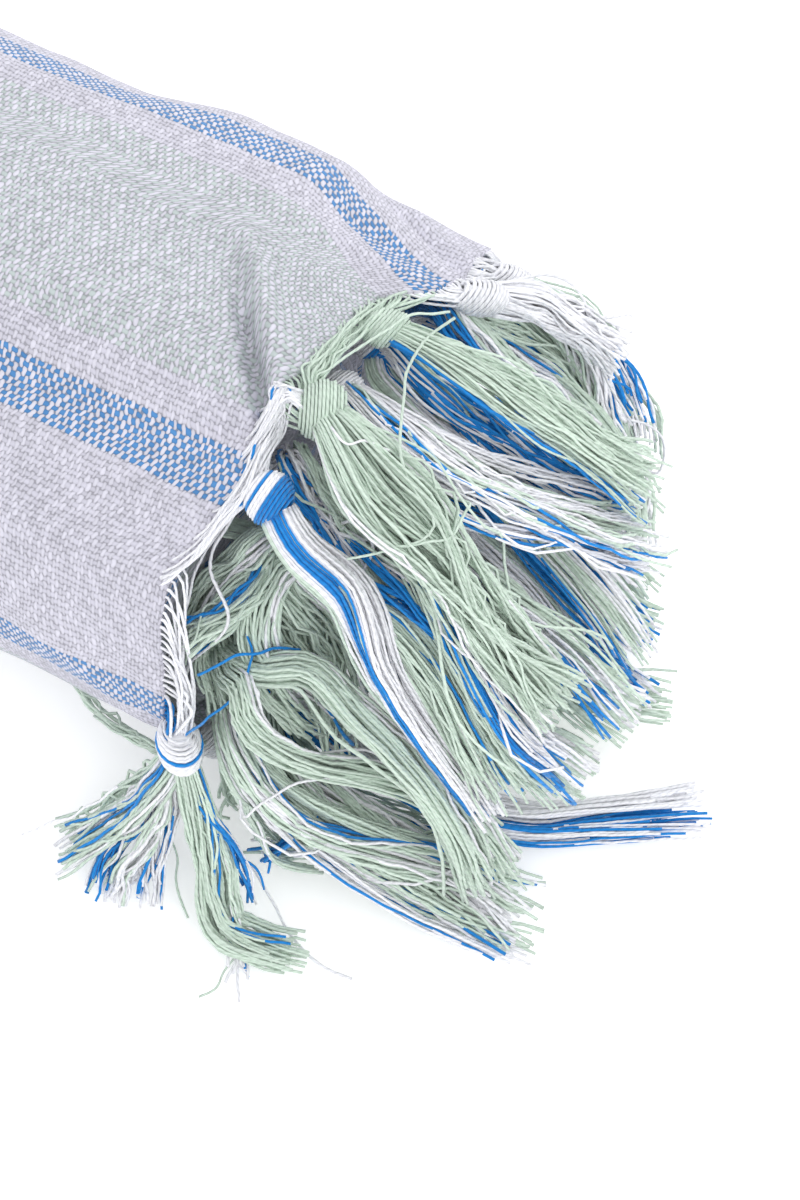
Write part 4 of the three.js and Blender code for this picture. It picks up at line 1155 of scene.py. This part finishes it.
tassels["inner_tassel_09"] = dict(
    shown, route=[(0.4, -33, 40), (5, -36.5, 45), (10.9, -38.1, 49), (17.5, -35.4, 51),
    (26.3, -36.1, 45), (32.2, -36, 40), (39.1, -36, 32), (45.3, -36.8, 22), (49.1, -37.7, 13)],
    yarns=66, side=3.6, rise=2.4, wave=0.8, opening=0.7, bands="sage 0.92 white", ragged=0.12, mix=0.06,
    knotBands="sage", neck=stemOf("sage"),
    branches=[
        lock(40, 3, "sage 0.8 white", [(0.4, -33, 40), (6, -40, 46.5), (10.6, -42.5, 50),
            (12, -44.6, 47), (14.8, -45.4, 44), (18.6, -44.3, 40), (23.2, -41.8, 36), (29.7, -36.9, 31),
            (37.7, -33.3, 26), (46.3, -32.6, 19), (52, -33.5, 12)], rise=2),
    ],
)
tassels["inner_tassel_10"] = dict(
    shown, route=[(4, -22, 57), (4.8, -28, 57), (2.4, -34, 55), (-1.5, -40, 52.4)], yarns=46, side=4.4,
    rise=3, opening=0.8, wave=0.7, bands="sage 0.46 blue 0.52 sage", mix=0.06, ragged=0.2,
    knotBands="sage", neck=stemOf("sage"),
    branches=[
        lock(40, 4, "sage 0.8 white", [(4, -22, 58), (9.7, -23.5, 60), (7.7, -26.2, 58),
            (6.8, -30.4, 56), (8.1, -35.1, 52), (12, -37, 44), (18, -36, 36)], rise=2.6),
        lock(56, 4.6, "sage 0.7 white 0.8 sage", [(4, -22, 58), (3.5, -24.1, 62), (1.4, -27.6, 58),
            (-1.7, -30.3, 52), (-3.6, -33.2, 46), (-3.6, -36.2, 42)], rise=2.6, wave=1.2),
        lock(56, 4.6, "sage 0.7 blue 0.76 sage", [(4, -22, 57), (3.9, -25.2, 58), (1.7, -28.5, 52),
            (0.7, -31.8, 47), (1.5, -34.9, 40), (5, -36, 34)], rise=2.6, wave=1.2),
    ],
)
tassels["inner_tassel_11"] = dict(
    route=[(2, 4, 59), (20, 5, 56), (38, 5.5, 42), (48, 4.5, 35), (55, 3.5, 27)], yarns=64, side=5,
    ragged=0.12, rise=3.2, bands="blue 0.3 white 0.4 sage 0.8 white", wave=0.5, mix=0.08,
    knotBands="white", neck=stemOf("white"),
    branches=[
        lock(70, 5.4, "sage 0.45 white 0.8 sage", [(2, 4, 59), (14, 1, 52), (24.3, 0, 46),
            (32.3, 0, 40), (38.8, 0, 34), (45.5, -1, 27)], rise=3),
    ],
)
tassels["inner_tassel_12"] = dict(
    route=[(1, -11, 63), (20, -12, 62), (40, -11, 51), (57, -9, 34)], yarns=56, side=4.8,
    bands="blue 0.4 white 0.6 sage", knotBands="white", neck=stemOf("white"),
    branches=[
        lock(74, 5, "sage 0.42 blue 0.7 white", [(1, -11, 63), (14, -15, 66), (27.5, -17.9, 65),
            (34.3, -20.9, 58), (41.3, -24, 50), (49.2, -25.5, 40), (55.7, -23.9, 30)]),
        lock(56, 4.4, "sage 0.6 blue 0.68 sage", [(1, -12, 62), (12, -21, 62), (21.7, -26.3, 61),
            (28.7, -26.6, 56), (36.2, -27.5, 48), (42.4, -29.1, 40), (48.7, -30.9, 32)]),
        lock(40, 4.4, "white 0.75 sage 0.9 blue", [(1, -12, 63), (6.4, -17.2, 66), (13.4, -17.4, 65),
            (18.2, -16.5, 62), (24.2, -17.6, 56)], wave=1.8),
        lock(34, 2.8, "blue 0.85 white", [(1, -12, 62), (10.4, -17.7, 64), (17.2, -21.3, 64),
            (23.0, -23.0, 64), (28.6, -22.5, 60), (34.7, -22.8, 55), (39.5, -22.7, 49)], rise=1.8,
            wave=1),
        lock(50, 4.4, "blue 0.35 white 0.6 sage", [(1, -11, 64), (4.5, -15.4, 73), (8.4, -17.5, 71),
            (14.2, -18.9, 66), (20.4, -21, 60), (26.5, -23.5, 52)], wave=1.3),
        lock(60, 4.8, "sage 0.75 white 0.85 sage", [(1, -12, 62), (6, -20, 60), (8.8, -25.5, 56.5),
            (11.3, -26.7, 54), (14.2, -26.5, 49), (17.2, -26.5, 43), (20.5, -27.2, 34)], wave=1.4),
    ],
)
tassels["inner_tassel_13"] = dict(
    route=[(0.4, -18, 42), (16, -17, 43), (34, -20, 38), (53, -20, 26)], yarns=56, side=4.8,
    bands="sage 0.5 blue 0.62 sage", knotBands="sage", neck=stemOf("sage"),
    branches=[
        lock(56, 4.2, "sage 0.8 blue 0.88 sage", [(0.4, -18, 44), (3.9, -27, 51), (8.3, -30, 49),
            (12.6, -30, 43), (16.8, -30.2, 34), (21.1, -30.8, 24)], wave=1.3),
    ],
)
tassels["inner_tassel_14"] = dict(
    route=[(0.4, -4, 32), (20, -4, 33), (40, -5.5, 28.5), (58, -6, 22)], side=5, ragged=0.1,
    bands="sage 0.7 white", knotBands="sage", neck=stemOf("sage"),
)
tassels["inner_tassel_15"] = dict(
    route=[(0.4, 14, 43), (20, 15.5, 43), (36, 16, 36), (48, 14.5, 28)], side=5, ragged=0.1,
    bands="blue 0.2 white", knotBands="white", neck=stemOf("white"),
)
tassels["inner_tassel_16"] = dict(
    route=[(0.4, 11, 28.5), (20, 13, 27), (38, 14.5, 22), (51, 13, 17)], side=5, ragged=0.1,
    bands="white 0.5 blue 0.7 sage", knotBands="white", neck=stemOf("white"),
)

fringePieces = []
for number, (node, own) in enumerate(tassels.items()):
    piece = tasselPiece(node + "_yarns", dict(plainTassel, **own), 100 + number)
    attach(piece, "root")
    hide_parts(node)
    fringePieces.append(piece)
for piece in [wrap, layers] + fringePieces:
    print(piece.name, "triangles", sum(len(face.vertices) - 2 for face in piece.data.polygons))
print("fringe made:", len(fringePieces), "pieces")


# Floor, light and camera, in metres

floorSetup = {
    "size": 6, "drop": -0.0003, "grain": 30, "paintedGlow": 0.32,
    "tones": ((0.93, 0.93, 0.935, 1), (0.96, 0.96, 0.96, 1)),
}
sky = {"Color": (0.97, 0.98, 1.0, 1), "Strength": 0.98}
lamps = {
    "key": {"place": (0.9, -0.5, 1.5), "size": 1.1, "power": 7},
    "back": {"place": (0.5, 1.3, 1.2), "size": 1.4, "power": 7},
}
lampTarget = (0.2, 0, 0.03)
camera = {
    "place": (0.41552, -0.31776, 0.64098), "target": (0.24959, -0.00959, 0.03476), "lens": 132.3,
    "sensor": 36, "near": 0.01,
}


def aimed(name, data, place, target):
    holder = bpy.data.objects.new(name, data)
    holder.location = place
    holder.rotation_euler = (Vector(target) - Vector(place)).to_track_quat("-Z", "Y").to_euler()
    bpy.context.scene.collection.objects.link(holder)
    return holder


def studio():
    white = (1, 1, 1, 1)
    bpy.ops.object.select_all(action="DESELECT")
    bpy.ops.mesh.primitive_plane_add(size=floorSetup["size"], location=(0, 0, floorSetup["drop"]))
    floor = bpy.context.object
    floor.name = "studio_floor"
    paper, tree, shader = newMaterial("white paper", 0.9, 0.0, white)
    grain = newNode(tree, "TexCoord")
    soft = noise(tree, grain.outputs["Object"], floorSetup["grain"], 2)
    tone = blendColour(tree, soft, *floorSetup["tones"])
    tree.links.new(tone, shader.inputs["Base Color"])
    # the paper glows evenly: painted light that fills the shadows on the floor and lights the yarns from
    # below
    shader.inputs["Emission Color"].default_value = white
    shader.inputs["Emission Strength"].default_value = floorSetup["paintedGlow"]
    floor.data.materials.append(paper)

    scene = bpy.context.scene
    scene.world = bpy.data.worlds.new("studio")
    scene.world.use_nodes = True
    for label, value in sky.items():
        scene.world.node_tree.nodes["Background"].inputs[label].default_value = value
    for name, own in lamps.items():
        lamp = bpy.data.lights.new(name, "AREA")
        lamp.size, lamp.energy = own["size"], own["power"]
        aimed(name, lamp, own["place"], lampTarget)

    lens = bpy.data.cameras.new("view")
    lens.lens, lens.sensor_width, lens.sensor_fit = camera["lens"], camera["sensor"], "AUTO"
    lens.clip_start = camera["near"]
    scene.camera = aimed("view", lens, camera["place"], camera["target"])
    scene.view_settings.view_transform = "Standard"
    scene.view_settings.look = "None"


studio()
print("studio made")
